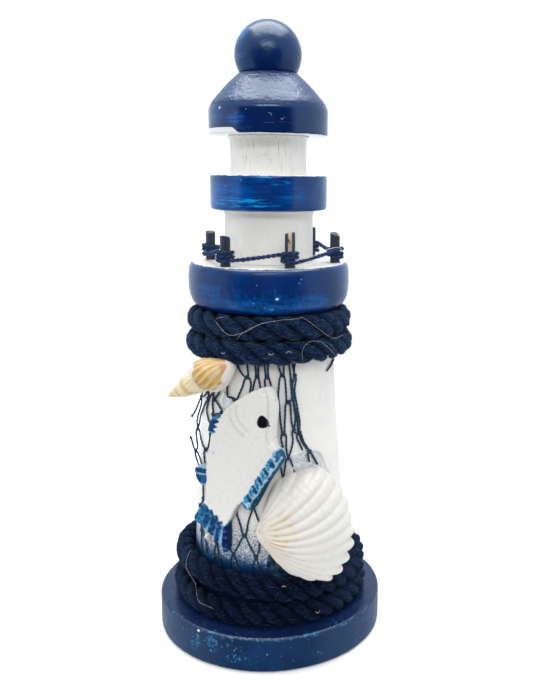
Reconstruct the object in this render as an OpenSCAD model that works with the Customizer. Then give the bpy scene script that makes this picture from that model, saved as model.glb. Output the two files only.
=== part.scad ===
// Free-standing turned-wood lighthouse decoration with nautical trimmings.
// Millimetres, +Z up, the middle of the base underside at the origin,
// the front with the fish looking toward -Y.

/* [Base] */
// Radius of the round base
base_r = 35.5; // [35.5:0.5:42]
// Thickness of the round base
base_h = 10.7; // [9:0.1:14]

/* [Tower] */
// Radius of the tower at its foot
tower_r1 = 25.1; // [24.5:0.1:26]
// Radius of the tower under the gallery
tower_r2 = 18.6; // [17.6:0.1:19.6]
// Height of the tower
tower_h = 92; // [90:1:100]

/* [Gallery] */
// Largest radius of the gallery deck
deck_r = 24.2; // [23:0.1:26]
// Thickness of the gallery deck
deck_h = 13.3; // [11:0.1:16]
// Diameter of a railing post
post_d = 3; // [2.4:0.1:3.6]
// Height of the railing posts above the deck
post_up = 10; // [8:0.5:14]
// Radius of the circle the railing posts stand on
post_ring = 20; // [19:0.1:20.6]
// Thickness of the railing twine
twine_d = 1.1; // [0.8:0.1:1.4]

/* [Lantern] */
// Radius of the lower neck
neck1_r = 13.2; // [12:0.1:15]
// Height of the lower neck
neck1_h = 15.3; // [14.5:0.1:20]
// Radius of the lantern ring
ring_r = 17.3; // [16:0.1:19]
// Height of the lantern ring
ring_h = 10.2; // [8:0.1:13]
// Radius of the upper neck
neck2_r = 11.2; // [9.5:0.1:13]
// Height of the upper neck
neck2_h = 11.1; // [9:0.1:14]

/* [Roof] */
// Radius of the roof band
roof_r = 17.4; // [16:0.1:19]
// Height of the straight roof band
band_h = 7.4; // [6:0.1:9]
// Height of the sloping roof above its band
slope_h = 10.2; // [9:0.1:12]
// Radius of the ball on top
ball_r = 9.7; // [9:0.1:11]

/* [Ropes] */
// Thickness of the rope across the tower face
rope_w = 6; // [5:0.1:6.4]
// Height of one flattened rope turn
rope_t = 6.9; // [6:0.1:7]
// How far the lower rope's top turn rides up at its left
rope_lift = 3; // [0:0.5:3]

/* [Fish] */
// Thickness of the fish board
fish_t = 3.4; // [2:0.1:5]
// Bearing of the fish from the front of the tower
fish_az = -22; // [-26:1:-18]

/* [Shells] */
// Height of the cockle dome
cockle_h = 9; // [7:0.1:10]
// Wall of the cockle
cockle_wall = 1.2; // [0.8:0.1:1.5]
// Largest radius of the whelk
whelk_r = 5; // [4.4:0.1:5.2]

/* [Hidden] */
$fn = 64;

// Levels of the turned pieces
z_deck = base_h + tower_h;
z_neck = z_deck + deck_h;
z_ring = z_neck + neck1_h;
z_ring_top = z_ring + ring_h;
z_roof = z_ring_top + neck2_h;
z_slope = z_roof + band_h;
z_seat = z_slope + slope_h;
seat_r = 8.3;
z_ball = z_seat + sqrt(ball_r * ball_r - seat_r * seat_r);

// Bearings of the railing posts, counted from the front toward +X
post_az = [21, 84, 142, 201, 260, 326];
// How far each post stands inside the circle, and how much shorter it is cut
post_in = [0, 0, 0, 0, 1.6, 0];
post_drop = [0, 1, 0.5, 0.5, 1.3, 1.2];

fit = 0.1;
dowel_r = 6;
roof_dowel_r = 4;
finial_dowel_r = 2;

// Tower radius at a level and the lean of its side
function tower_r(z) = tower_r1 + (tower_r2 - tower_r1) * (z - base_h) / tower_h;
lean = atan((tower_r1 - tower_r2) / tower_h);

// A point on a bearing
function polar(r, a, z) = [r * sin(a), -r * cos(a), z];

// Faces of a tube of n rings with m points each
function tube_side(n, m, closed) =
  [for (i = [0 : n - (closed ? 1 : 2)]) for (j = [0 : m - 1])
    let (k = (j + 1) % m, p = (i + 1) % n)
    each [[i * m + j, p * m + j, p * m + k], [i * m + j, p * m + k, i * m + k]]];
function tube_ends(n, m) =
  [[for (j = [0 : m - 1]) j], [for (j = [m - 1 : -1 : 0]) (n - 1) * m + j]];

// Local frame on the tower side: x sideways, y up the side, z outward
module on_tower(az, z, gap = 0) {
  rotate([0, 0, az]) translate([0, -tower_r(z), z])
    rotate([90 - lean, 0, 0]) translate([0, 0, gap]) children();
}

// Plain tower cone, used to cut the pieces lying against it
module tower_cone(extra = 0) {
  translate([0, 0, base_h])
    cylinder(r1 = tower_r1 + extra, r2 = tower_r2 + extra, h = tower_h);
}

// ---------------------------------------------------------------- turned wood

module base_disc() {
  color([0.05, 0.07, 0.16]) difference() {
    rotate_extrude() polygon([[0, 0], [base_r - 0.6, 0], [base_r, 0.6],
      [base_r, base_h - 1], [base_r - 0.3, base_h - 0.3],
      [base_r - 1, base_h], [0, base_h]]);
    translate([0, 0, -1]) cylinder(r = 2.3, h = base_h + 2);
    translate([0, 0, 1.4]) cylinder(r1 = 4.3, r2 = 2.3, h = 2);
    translate([0, 0, -1]) cylinder(r = 4.3, h = 2.41);
  }
}

module base_screw() {
  color([0.7, 0.68, 0.6]) difference() {
    rotate_extrude() polygon([[0, 0.8], [4, 0.8], [4, 1.4], [2, 3.4],
      [2, base_h + 22], [0, base_h + 25]]);
    for (a = [0, 90]) rotate([0, 0, a]) translate([-2, -0.4, 0]) cube([4, 0.8, 1.8]);
  }
}

module tower_trunk() {
  color([0.93, 0.93, 0.91]) difference() {
    tower_cone();
    translate([0, 0, base_h - 1]) cylinder(r = 2.1, h = 27);
    translate([0, 0, z_deck - 15.2]) cylinder(r = dowel_r + fit, h = 16);
  }
}

module gallery_dowel() {
  color([0.8, 0.68, 0.5]) translate([0, 0, z_deck - 15])
    cylinder(r = dowel_r, h = 15 + deck_h + 12);
}

module gallery_deck() {
  color([0.05, 0.08, 0.2]) difference() {
    rotate_extrude() polygon([[dowel_r + fit, z_deck], [deck_r - 2.8, z_deck],
      [deck_r - 1.7, z_deck + 0.9], [deck_r - 0.8, z_deck + 2.4],
      [deck_r - 0.2, z_deck + 4.4], [deck_r, z_deck + 6.6],
      [deck_r, z_deck + deck_h - 4], [deck_r - 0.2, z_deck + deck_h - 1.8],
      [deck_r - 0.6, z_deck + deck_h - 0.6], [deck_r - 1.4, z_deck + deck_h],
      [dowel_r + fit, z_deck + deck_h]]);
    for (i = [0 : 5]) rotate([0, 0, post_az[i]])
      translate([0, post_in[i] - post_ring, z_neck - 6])
        cylinder(d = post_d + fit, h = 7);
  }
}

module lantern_spindle() {
  color([0.93, 0.93, 0.91]) rotate_extrude() polygon([
    [dowel_r + fit, z_neck], [neck1_r, z_neck], [neck1_r, z_ring - 0.9],
    [neck1_r + 0.2, z_ring - 0.4], [neck1_r + 0.7, z_ring],
    [ring_r - 1.5, z_ring], [ring_r - 0.5, z_ring + 0.5],
    [ring_r, z_ring + 1.6], [ring_r, z_ring_top - 0.8],
    [ring_r - 0.7, z_ring_top], [neck2_r + 0.6, z_ring_top],
    [neck2_r + 0.1, z_ring_top + 0.4], [neck2_r, z_ring_top + 1],
    [neck2_r, z_roof - 1.4], [neck2_r + 0.3, z_roof - 0.6], [neck2_r + 0.8, z_roof],
    [roof_dowel_r + fit, z_roof], [roof_dowel_r + fit, z_roof - 7],
    [0, z_roof - 7], [0, z_neck + 12.3], [dowel_r + fit, z_neck + 12.3]]);
}

module roof_dowel() {
  color([0.8, 0.68, 0.5]) translate([0, 0, z_roof - 6.8])
    cylinder(r = roof_dowel_r, h = 13.6);
}

module roof_cap() {
  color([0.05, 0.07, 0.18]) rotate_extrude() polygon([
    [roof_dowel_r + fit, z_roof], [roof_r - 0.8, z_roof], [roof_r, z_roof + 0.8],
    [roof_r, z_slope], [roof_r - 0.6, z_slope + 1.3], [roof_r - 2.4, z_slope + 3.6],
    [roof_r - 5.4, z_slope + 6.9], [roof_r - 7.9, z_slope + 9.2],
    [seat_r + 0.1, z_seat], [finial_dowel_r + fit, z_seat],
    [finial_dowel_r + fit, z_seat - 5.2], [0, z_seat - 5.2],
    [0, z_roof + 7], [roof_dowel_r + fit, z_roof + 7]]);
}

module finial_dowel() {
  color([0.8, 0.68, 0.5]) translate([0, 0, z_seat - 5])
    cylinder(r = finial_dowel_r, h = 10);
}

module ball_finial() {
  color([0.05, 0.07, 0.18]) difference() {
    translate([0, 0, z_ball]) sphere(r = ball_r);
    translate([0, 0, z_seat - 10]) cylinder(r = ball_r + 1, h = 10);
    translate([0, 0, z_seat - 1]) cylinder(r = finial_dowel_r + fit, h = 6.2);
  }
}

// ---------------------------------------------------------------- railing

module post(i) {
  color([0.06, 0.07, 0.1]) rotate([0, 0, post_az[i]])
    translate([0, post_in[i] - post_ring, z_neck - 5.8])
      cylinder(d = post_d, h = 5.8 + post_up - post_drop[i]);
}
module railing_post_1() post(0);
module railing_post_2() post(1);
module railing_post_3() post(2);
module railing_post_4() post(3);
module railing_post_5() post(4);
module railing_post_6() post(5);

// The twine takes two full turns round each post and runs straight between
module railing_cord() {
  m = 8;
  steps = 24;
  wrap_r = post_d / 2 + twine_d / 2 + 0.1;
  pitch = twine_d + 0.15;
  c = [for (i = [0 : 5]) polar(post_ring - post_in[i], post_az[i], z_neck)];
  pts = [for (k = [0 : 5])
    let (a = c[(k + 5) % 6], b = c[k], d = c[(k + 1) % 6],
      t0 = atan2(b[1] - a[1], b[0] - a[0]) - 90,
      t1 = atan2(d[1] - b[1], d[0] - b[0]) - 90,
      turn = ((t1 - t0) % 360 + 360) % 360 + 720)
    for (i = [0 : steps])
      let (t = t0 + turn * i / steps, n = [cos(t), sin(t), 0],
        p = b + wrap_r * n
          + [0, 0, 1.1 + twine_d / 2 + pitch * turn * (1 - i / steps) / 360])
      for (j = [0 : m - 1])
        p + twine_d / 2 * (cos(360 * j / m) * n + sin(360 * j / m) * [0, 0, 1])];
  color([0.07, 0.09, 0.2])
    polyhedron(pts, tube_side(6 * (steps + 1), m, true), convexity = 8);
}

// ---------------------------------------------------------------- ropes

// Two flat turns against the tower, climbing from one to the other at the back;
// the second turn may ride up on one side
module rope(z_first, rise, lift) {
  m = 12;
  rx = rope_w / 2;
  rz = rope_t / 2;
  a0 = 195;
  a1 = 860;
  n = 68;
  pts = [for (i = [0 : n - 1])
    let (a = a0 + (a1 - a0) * i / (n - 1),
      s = min(1, max(0, (a - 495) / 55)), e = s * s * (3 - 2 * s),
      z = z_first + rise * e + lift * e * max(0, cos(a - 650)),
      r = tower_r(z) + rx + 0.2)
    for (j = [0 : m - 1]) let (b = 360 * j / m)
      polar(r + rx * cos(b), a, z + rz * sin(b))];
  polyhedron(pts, concat(tube_side(n, m, false), tube_ends(n, m)), convexity = 8);
}

module upper_rope() {
  color([0.05, 0.07, 0.16]) rope(z_deck - rope_t / 2 - 0.2, -(rope_t + 0.1), 0);
}

module lower_rope() {
  color([0.05, 0.07, 0.16]) rope(base_h + rope_t / 2 + 0.1, rope_t + 0.2, rope_lift);
}

// ---------------------------------------------------------------- net

// One zigzag strand of the net lying on the tower side
module net_strand(az, sign, rows) {
  m = 6;
  r = 0.3;
  n = 2 * rows + 1;
  pts = [for (i = [0 : n - 1])
    let (z = z_deck - 13.6 - 4 * i,
      q = i % 2 == 1 ? 0 : (floor(i / 2) % 2 == 0 ? 1 : -1),
      a = az + 6 * sign * q, p = polar(tower_r(z) + r + 0.1, a, z))
    for (j = [0 : m - 1]) let (b = 360 * j / m)
      p + r * (cos(b) * [cos(a), sin(a), 0] + sin(b) * [sin(a), -cos(a), 0])];
  polyhedron(pts, concat(tube_side(n, m, false), tube_ends(n, m)), convexity = 8);
}

module fishing_net() {
  color([0.06, 0.12, 0.2]) for (j = [0 : 8]) let (az = -76 + 12 * j)
    net_strand(az, j % 2 == 0 ? 1 : -1, az > -10 ? 3 : 7.5);
}

// ---------------------------------------------------------------- fish

module fish_outline() {
  polygon([[10, 27], [11.5, 27], [12.5, 25], [13.5, 22.5], [13.5, 20], [13, 16],
    [13, 13], [13.5, 11], [14, 9.5], [15.5, 8.5], [16.5, 7], [15, 4.5],
    [13, 1.5], [11, -1.5], [10, -4], [7.5, -9], [6, -10], [5, -9], [4, -8],
    [1.5, -10.5], [0, -13.5], [-1, -15.5], [-0.5, -18], [-0.5, -23], [-1, -24],
    [-2, -24], [-2.5, -22], [-4, -20.5], [-6.5, -19], [-9.5, -17], [-12, -15.5],
    [-12, -14.5], [-10, -11.5], [-9, -10], [-8, -7.5], [-8, -4], [-9, -4.5],
    [-11, -2.5], [-11.5, -1], [-11, 1], [-8, 1.5], [-7.5, 3.5], [-7.5, 6],
    [-7, 9], [-6.5, 12], [-8, 12], [-7, 15.5], [-6, 17], [-4, 16.5], [-3, 18],
    [-1.5, 20], [1, 22], [4, 24], [6.5, 25.5]]);
}

module fish_plaque() {
  color([0.92, 0.92, 0.9]) on_tower(fish_az, base_h + 45.3, 0.9) difference() {
    linear_extrude(fish_t) fish_outline();
    translate([10, 17, fish_t - 0.4]) cylinder(r = 1.5, h = 1);
    for (s = [0, 2]) translate([6.5 - s, 20.5 - 0.6 * s, fish_t - 0.5])
      linear_extrude(1) difference() {
        circle(r = 5.3);
        circle(r = 4.8);
        translate([-3.5, -8]) square(16);
      }
  }
}

// Two beads of glue in the open meshes of the net behind the fish
module fish_glue() {
  color([0.8, 0.82, 0.82]) difference() {
    on_tower(fish_az, base_h + 45.3) for (y = [9, -7])
      translate([0, y, -2]) linear_extrude(2.9) {
        square([2.6, 5], center = true);
        for (s = [-1, 1]) translate([0, 2.5 * s]) circle(r = 1.3);
      }
    tower_cone();
  }
}

// ---------------------------------------------------------------- shells

// Place on the tower where the shells sit
module whelk_place() {
  z = z_deck - 15.2;
  translate(polar(tower_r(z) + 4, -27.5, z)) rotate([0, 119, 167]) children();
}

module whelk_body() {
  k = whelk_r / 5;
  rotate_extrude() polygon([[0, 0], [1.6 * k, 0.1], [2.3 * k, 1.2], [3.2 * k, 2.8],
    [4.2 * k, 4.6], [4.8 * k, 6], [5 * k, 7.4], [4.9 * k, 8.6], [4.5 * k, 9.4],
    [4.1 * k, 9.7], [3.9 * k, 10.8], [3.2 * k, 12.6], [2.7 * k, 13.3],
    [2.6 * k, 14.2], [2.1 * k, 15.2], [1.8 * k, 15.8], [1.7 * k, 16.4],
    [1.2 * k, 17.5], [0.9 * k, 18.4], [0.3 * k, 20.2], [0, 20.5]]);
}

module whelk_shell() {
  color([0.86, 0.74, 0.55]) whelk_place() whelk_body();
}

module whelk_glue() {
  color([0.8, 0.82, 0.82]) difference() {
    on_tower(-46, z_deck - 21.7, -1) cylinder(r = 1.5, h = 5.5);
    tower_cone();
    whelk_place() whelk_body();
  }
}

// Local frame of the cockle: x from the beak across, y up, z out of the dome
module cockle_place() {
  z = base_h + 31.2;
  translate(polar(tower_r(z) + 3.9, 26, z)) rotate([0, 0, 11.4])
    rotate([75, 0, 0]) children();
}

// Ribs run out from the beak to the scalloped edge. The edge lies at these
// distances from the beak, as [bearing in degrees, mm]
cockle_a = 14;
cockle_b = 16.4;
beak = [-13, -1.8];
function beak_reach(t) = lookup(t > 180 ? t - 360 : t, [[-180, 1], [-140, 1.5],
  [-105, 2.5], [-83, 4], [-72, 6], [-64, 10], [-52, 17.5], [-42, 22.5],
  [-36, 25], [-24, 26.5], [-9, 27.5], [10, 27], [32, 26.5], [45, 25.5],
  [53, 23.5], [58, 21.5], [64, 18], [70, 15], [75, 11.5], [79, 7.5],
  [83, 4.5], [90, 3], [110, 2], [140, 1.5], [180, 1]]);
function cockle_point(s, i, h, n, rib) =
  let (t = 360 * i / n, w = abs(t > 180 ? t - 360 : t) < 72 ? rib : 0,
    e = i % 2 == 0 ? 1 : -1, f = beak_reach(t),
    p = pow(cos(t) / cockle_a, 2) + pow(sin(t) / cockle_b, 2))
  [beak[0] + s * f * cos(t), beak[1] + s * f * sin(t),
    max(0, h * f * sqrt(p * s * (1 - s)) + w * e * min(1, 2 * s) * (1 - pow(s, 6)))];

module cockle_shell() {
  n = 72;
  rows = [0.06, 0.16, 0.28, 0.42, 0.56, 0.7, 0.82, 0.91, 0.97, 1];
  m = len(rows);
  k = cockle_wall;
  outer = [for (s = rows) for (i = [0 : n - 1]) cockle_point(s, i, cockle_h, n, 0.22)];
  inner = [for (s = rows) for (i = [0 : n - 1])
    let (p = cockle_point(s, i, cockle_h - k, n, 0))
    [p[0] * (1 - k / cockle_a), p[1] * (1 - k / cockle_b), p[2]]];
  top_o = [beak[0], beak[1], 0.18 * cockle_h];
  top_i = [beak[0] * (1 - k / cockle_a), beak[1] * (1 - k / cockle_b), 0.18 * (cockle_h - k)];
  pts = concat(outer, inner, [top_o, top_i]);
  faces = concat(
    [for (r = [0 : m - 2]) for (i = [0 : n - 1]) let (p = (i + 1) % n)
      each [[r * n + i, (r + 1) * n + p, (r + 1) * n + i],
        [r * n + i, r * n + p, (r + 1) * n + p]]],
    [for (r = [0 : m - 2]) for (i = [0 : n - 1]) let (p = (i + 1) % n, o = m * n)
      each [[o + r * n + i, o + (r + 1) * n + i, o + (r + 1) * n + p],
        [o + r * n + i, o + (r + 1) * n + p, o + r * n + p]]],
    [for (i = [0 : n - 1]) let (p = (i + 1) % n, a = (m - 1) * n, b = (2 * m - 1) * n)
      each [[a + i, a + p, b + p], [a + i, b + p, b + i]]],
    [for (i = [0 : n - 1]) let (p = (i + 1) % n) [2 * m * n, p, i]],
    [for (i = [0 : n - 1]) let (p = (i + 1) % n)
      [2 * m * n + 1, m * n + i, m * n + p]]);
  color([0.95, 0.92, 0.86]) cockle_place() polyhedron(pts, faces, convexity = 6);
}

// Glue filling part of the hollow, and a puddle above the shell on the tower
module cockle_glue() {
  color([0.8, 0.82, 0.82]) difference() {
    union() {
      cockle_place() translate([-4, 3, -7]) cylinder(r = 5, h = 11);
      on_tower(39, base_h + 50.5, -0.6) cylinder(r = 4, h = 1.5);
    }
    tower_cone();
  }
}

base_disc();
base_screw();
tower_trunk();
gallery_dowel();
gallery_deck();
lantern_spindle();
roof_dowel();
roof_cap();
finial_dowel();
ball_finial();
railing_post_1();
railing_post_2();
railing_post_3();
railing_post_4();
railing_post_5();
railing_post_6();
railing_cord();
upper_rope();
lower_rope();
fishing_net();
fish_plaque();
fish_glue();
whelk_shell();
whelk_glue();
cockle_shell();
cockle_glue();
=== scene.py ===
import math

import bpy
import numpy as np
from mathutils import Matrix, Vector
from mathutils.geometry import delaunay_2d_cdt


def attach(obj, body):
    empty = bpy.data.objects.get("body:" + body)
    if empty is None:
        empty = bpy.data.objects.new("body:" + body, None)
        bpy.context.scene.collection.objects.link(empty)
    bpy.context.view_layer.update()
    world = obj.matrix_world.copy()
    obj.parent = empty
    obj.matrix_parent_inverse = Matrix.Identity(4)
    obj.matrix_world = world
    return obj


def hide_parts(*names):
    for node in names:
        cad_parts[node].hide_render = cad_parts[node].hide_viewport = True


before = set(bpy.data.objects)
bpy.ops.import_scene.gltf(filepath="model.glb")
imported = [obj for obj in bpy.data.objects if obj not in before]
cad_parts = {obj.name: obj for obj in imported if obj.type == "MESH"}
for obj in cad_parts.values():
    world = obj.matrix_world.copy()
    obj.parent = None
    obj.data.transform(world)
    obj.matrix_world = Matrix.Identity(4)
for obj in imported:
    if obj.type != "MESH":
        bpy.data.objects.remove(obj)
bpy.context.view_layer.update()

MM = 0.001
RNG = np.random.default_rng(11)
scene = bpy.context.scene

# ------------------------------------------------------------------ sizes, mm
BASE_R, BASE_H = 35.5, 10.7
Z_DECK, Z_NECK, Z_RING, Z_RTOP, Z_ROOF, Z_SLOPE, Z_SEAT = 102.7, 116.0, 131.3, 141.5, 152.6, 160.0, 170.2
BALL_R = 9.7
Z_BALL = Z_SEAT + math.sqrt(BALL_R ** 2 - 8.3 ** 2)
POSTS = [21, 84, 142, 201, 260, 326]
POST_R = [20, 20, 20, 20, 18.4, 20]
POST_TOP = [126.0, 125.0, 125.5, 125.5, 124.7, 124.8]
LEAN = math.atan(6.5 / 92)


def tower_r(z):
    return 25.1 - 6.5 * (np.asarray(z, float) - BASE_H) / 92


def polar(r, a, z):
    a = np.radians(a)
    r, a, z = np.broadcast_arrays(np.asarray(r, float), a, np.asarray(z, float))
    return np.stack([r * np.sin(a), -r * np.cos(a), z], -1)


# ------------------------------------------------------------------ noise
def vnoise(p, seed=0):
    p = np.asarray(p, float)
    i = np.floor(p).astype(np.int64)
    f = p - i
    f = f * f * f * (f * (f * 6 - 15) + 10)

    def h(dx, dy, dz):
        n = ((i[..., 0] + dx) * 374761393 + (i[..., 1] + dy) * 668265263
             + (i[..., 2] + dz) * 1274126177 + seed * 974711)
        n = n & 0xFFFFFFFF
        n = ((n ^ (n >> 15)) * 73244475) & 0xFFFFFFFF
        n = ((n ^ (n >> 13)) * 73244475) & 0xFFFFFFFF
        return (n ^ (n >> 16)) / 4294967295.0

    x, y, z = f[..., 0], f[..., 1], f[..., 2]
    a = h(0, 0, 0) * (1 - x) + h(1, 0, 0) * x
    b = h(0, 1, 0) * (1 - x) + h(1, 1, 0) * x
    c = h(0, 0, 1) * (1 - x) + h(1, 0, 1) * x
    d = h(0, 1, 1) * (1 - x) + h(1, 1, 1) * x
    return ((a * (1 - y) + b * y) * (1 - z) + (c * (1 - y) + d * y) * z) * 2 - 1


def fbm(p, octaves=3, seed=0):
    p = np.asarray(p, float)
    out, amp = 0, 1.0
    for k in range(octaves):
        out = out + amp * vnoise(p * 2 ** k, seed + 17 * k)
        amp *= 0.5
    return out


def smooth(x, lo, hi):
    t = np.clip((np.asarray(x, float) - lo) / (hi - lo), 0, 1)
    return t * t * (3 - 2 * t)


# ------------------------------------------------------------------ mesh helpers
def unit(v):
    return v / np.maximum(np.linalg.norm(v, axis=-1, keepdims=True), 1e-12)


class Soup:
    """Collects closed shells into one mesh."""

    def __init__(self):
        self.v, self.f, self.n, self.a = [], [], 0, {}

    def add(self, verts, faces, **attrs):
        verts = np.asarray(verts, float).reshape(-1, 3)
        self.v.append(verts)
        self.f += [tuple(int(i) + self.n for i in f) for f in faces]
        for k, val in attrs.items():
            self.a.setdefault(k, []).append(np.broadcast_to(np.asarray(val, float), (len(verts),)))
        self.n += len(verts)


def grid_faces(n, m, wrap_n=False, wrap_m=True):
    i = np.arange(n if wrap_n else n - 1)[:, None]
    j = np.arange(m if wrap_m else m - 1)[None]
    i2, j2 = (i + 1) % n, (j + 1) % m
    q = np.stack(np.broadcast_arrays(i * m + j, i * m + j2, i2 * m + j2, i2 * m + j), -1)
    return q.reshape(-1, 4).tolist()


def build(name, verts, faces, mat, node=None, slot=None, flat=False, attrs=None):
    me = bpy.data.meshes.new(name)
    me.from_pydata((np.asarray(verts, float) * MM).tolist(), [], faces)
    me.materials.append(mat)
    if not flat:
        me.polygons.foreach_set("use_smooth", np.ones(len(me.polygons), bool))
    for k, val in (attrs or {}).items():
        val = np.asarray(val, np.float32)
        if val.ndim == 1:
            a = me.attributes.new(k, "FLOAT", "POINT")
            a.data.foreach_set("value", val)
        else:
            a = me.attributes.new(k, "FLOAT_COLOR", "POINT")
            a.data.foreach_set("color", np.concatenate([val, np.ones((len(val), 1), np.float32)], 1).ravel())
    me.update()
    ob = bpy.data.objects.new(name, me)
    scene.collection.objects.link(ob)
    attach(ob, "root")
    if node:
        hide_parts(*([node] if isinstance(node, str) else node))
    return ob


def build_soup(name, s, mat, **kw):
    at = {k: np.concatenate(v) for k, v in s.a.items()}
    return build(name, np.concatenate(s.v), s.f, mat, attrs=at, **kw)


def spline(pts, step):
    """Catmull-Rom through points, about one sample per step."""
    p = np.asarray(pts, float)
    if len(p) < 2:
        return p
    q = np.concatenate([[2 * p[0] - p[1]], p, [2 * p[-1] - p[-2]]])
    out = []
    for i in range(1, len(q) - 2):
        a, b, c, d = q[i - 1], q[i], q[i + 1], q[i + 2]
        n = max(1, int(np.ceil(np.linalg.norm(c - b) / step)))
        t = (np.arange(n) / n)[:, None]
        out.append(0.5 * (2 * b + (c - a) * t + (2 * a - 5 * b + 4 * c - d) * t ** 2
                          + (3 * b - a - 3 * c + d) * t ** 3))
    out.append(p[-1:])
    return np.concatenate(out)


def rounded(pts, closed, arc=7, step=0.8):
    """Profile corners (r, z, fillet) to a fine line."""
    n, out = len(pts), []
    for i in range(n):
        p1 = np.array(pts[i][:2], float)
        f = pts[i][2] if len(pts[i]) > 2 else 0
        if f <= 0 or (not closed and i in (0, n - 1)):
            out.append(p1)
            continue
        a = np.array(pts[i - 1][:2], float) - p1
        b = np.array(pts[(i + 1) % n][:2], float) - p1
        la, lb = np.linalg.norm(a), np.linalg.norm(b)
        s, e = p1 + a / la * min(f, 0.49 * la), p1 + b / lb * min(f, 0.49 * lb)
        for k in range(arc + 1):
            u = k / arc
            out.append((1 - u) ** 2 * s + 2 * u * (1 - u) * p1 + u * u * e)
    res = []
    for i in range(len(out) if closed else len(out) - 1):
        p, q = out[i], out[(i + 1) % len(out)]
        m = max(1, int(math.ceil(np.linalg.norm(q - p) / step)))
        res += [p + (q - p) * k / m for k in range(m)]
    if not closed:
        res.append(out[-1])
    return np.array(res)


def lathe(name, prof, mat, closed, seg=240, disp=None, **kw):
    prof = np.asarray(prof, float)
    a = np.arange(seg) * 2 * math.pi / seg
    lo = 0 if closed or prof[0, 0] > 1e-6 else 1
    hi = len(prof) if closed or prof[-1, 0] > 1e-6 else len(prof) - 1
    p = prof[lo:hi]
    P = np.stack([p[:, :1] * np.sin(a), -p[:, :1] * np.cos(a),
                  np.broadcast_to(p[:, 1:], (len(p), seg))], -1)
    if disp is not None:
        P = disp(P)
    verts = P.reshape(-1, 3)
    faces = grid_faces(len(p), seg, closed, True)
    extra = []
    if lo:
        k = len(verts) + len(extra)
        extra.append([0, 0, prof[0, 1]])
        faces += [(k, (j + 1) % seg, j) for j in range(seg)]
    if hi < len(prof):
        k = len(verts) + len(extra)
        extra.append([0, 0, prof[-1, 1]])
        o = (len(p) - 1) * seg
        faces += [(k, o + j, o + (j + 1) % seg) for j in range(seg)]
    if extra:
        verts = np.concatenate([verts, extra])
    return build(name, verts, faces, mat, **kw)


def turned(P, amp=0.05, ridge=0.02, seed=0):
    """Hand-turned, brush-painted unevenness."""
    r = np.hypot(P[..., 0], P[..., 1])
    k = amp * fbm(P * 0.09, 2, seed) + 0.4 * amp * fbm(P * 0.35, 2, seed + 3)
    zz = np.stack([P[..., 0] * 0.02, P[..., 1] * 0.02, P[..., 2] * 1.1], -1)
    k = k + ridge * fbm(zz, 2, seed + 9)
    s = 1 + k / np.maximum(r, 3)
    Q = P.copy()
    Q[..., 0] *= s
    Q[..., 1] *= s
    return Q


def tube(soup, path, rad, m=10, twist=0.0, lobes=0, lobe=0.0, taper=0.0, **attrs):
    """Closed tube with turning frames; lobes make it look plied."""
    p = np.asarray(path, float)
    t = unit(np.gradient(p, axis=0))
    up = np.array([0.0, 0, 1]) if abs(t[0][2]) < 0.9 else np.array([1.0, 0, 0])
    n = unit(np.cross(up, t[0]))
    N = [n]
    for i in range(1, len(p)):
        n = N[-1] - t[i] * np.dot(N[-1], t[i])
        N.append(unit(n))
    N = np.array(N)
    B = np.cross(t, N)
    s = np.concatenate([[0], np.cumsum(np.linalg.norm(np.diff(p, axis=0), axis=1))])
    j = np.arange(m) * 2 * math.pi / m
    r = np.asarray(rad, float)
    r = np.broadcast_to(r, (len(p),)).copy()
    if taper:
        r *= np.clip(np.minimum(s, s[-1] - s) / taper, 0.35, 1)
    ph = j[None] + twist * s[:, None]
    rr = r[:, None] * (1 + (lobe * np.cos(lobes * ph) if lobes else 0))
    V = p[:, None] + rr[..., None] * (np.cos(j)[None, :, None] * N[:, None] + np.sin(j)[None, :, None] * B[:, None])
    f = grid_faces(len(p), m)
    f.append(tuple(range(m - 1, -1, -1)))
    f.append(tuple((len(p) - 1) * m + k for k in range(m)))
    groove = np.broadcast_to((0.5 - 0.5 * np.cos(lobes * ph)) if lobes else np.zeros_like(ph), ph.shape)
    soup.add(V, f, groove=groove.ravel(), **attrs)


def fibres(soup, p0, d, nrm, length, lift, rad, bend, n=6, sides=3, **attrs):
    """Many thin loose fibres: start points, directions and outward normals."""
    t = np.linspace(0, 1, n)[None, :, None]
    b = unit(np.cross(d, nrm))
    P = (p0[:, None] + d[:, None] * length[:, None, None] * (t - 0.5)
         + nrm[:, None] * (lift[:, None, None] * (1 - (2 * t - 1) ** 2) - 0.05)
         + b[:, None] * bend[:, None, None] * (2 * t - 1) ** 2)
    w = rad[:, None] * np.array([0.5] + [1.0] * (n - 2) + [0.5])[None]
    j = np.arange(sides) * 2 * math.pi / sides
    V = P[:, :, None] + w[..., None, None] * (np.cos(j)[None, None, :, None] * nrm[:, None, None]
                                              + np.sin(j)[None, None, :, None] * b[:, None, None])
    base = grid_faces(n, sides) + [tuple(range(sides - 1, -1, -1)), tuple((n - 1) * sides + k for k in range(sides))]
    allf = []
    for i in range(len(p0)):
        o = i * n * sides
        allf += [tuple(o + k for k in f) for f in base]
    soup.add(V, allf, groove=0.0, **attrs)


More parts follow.
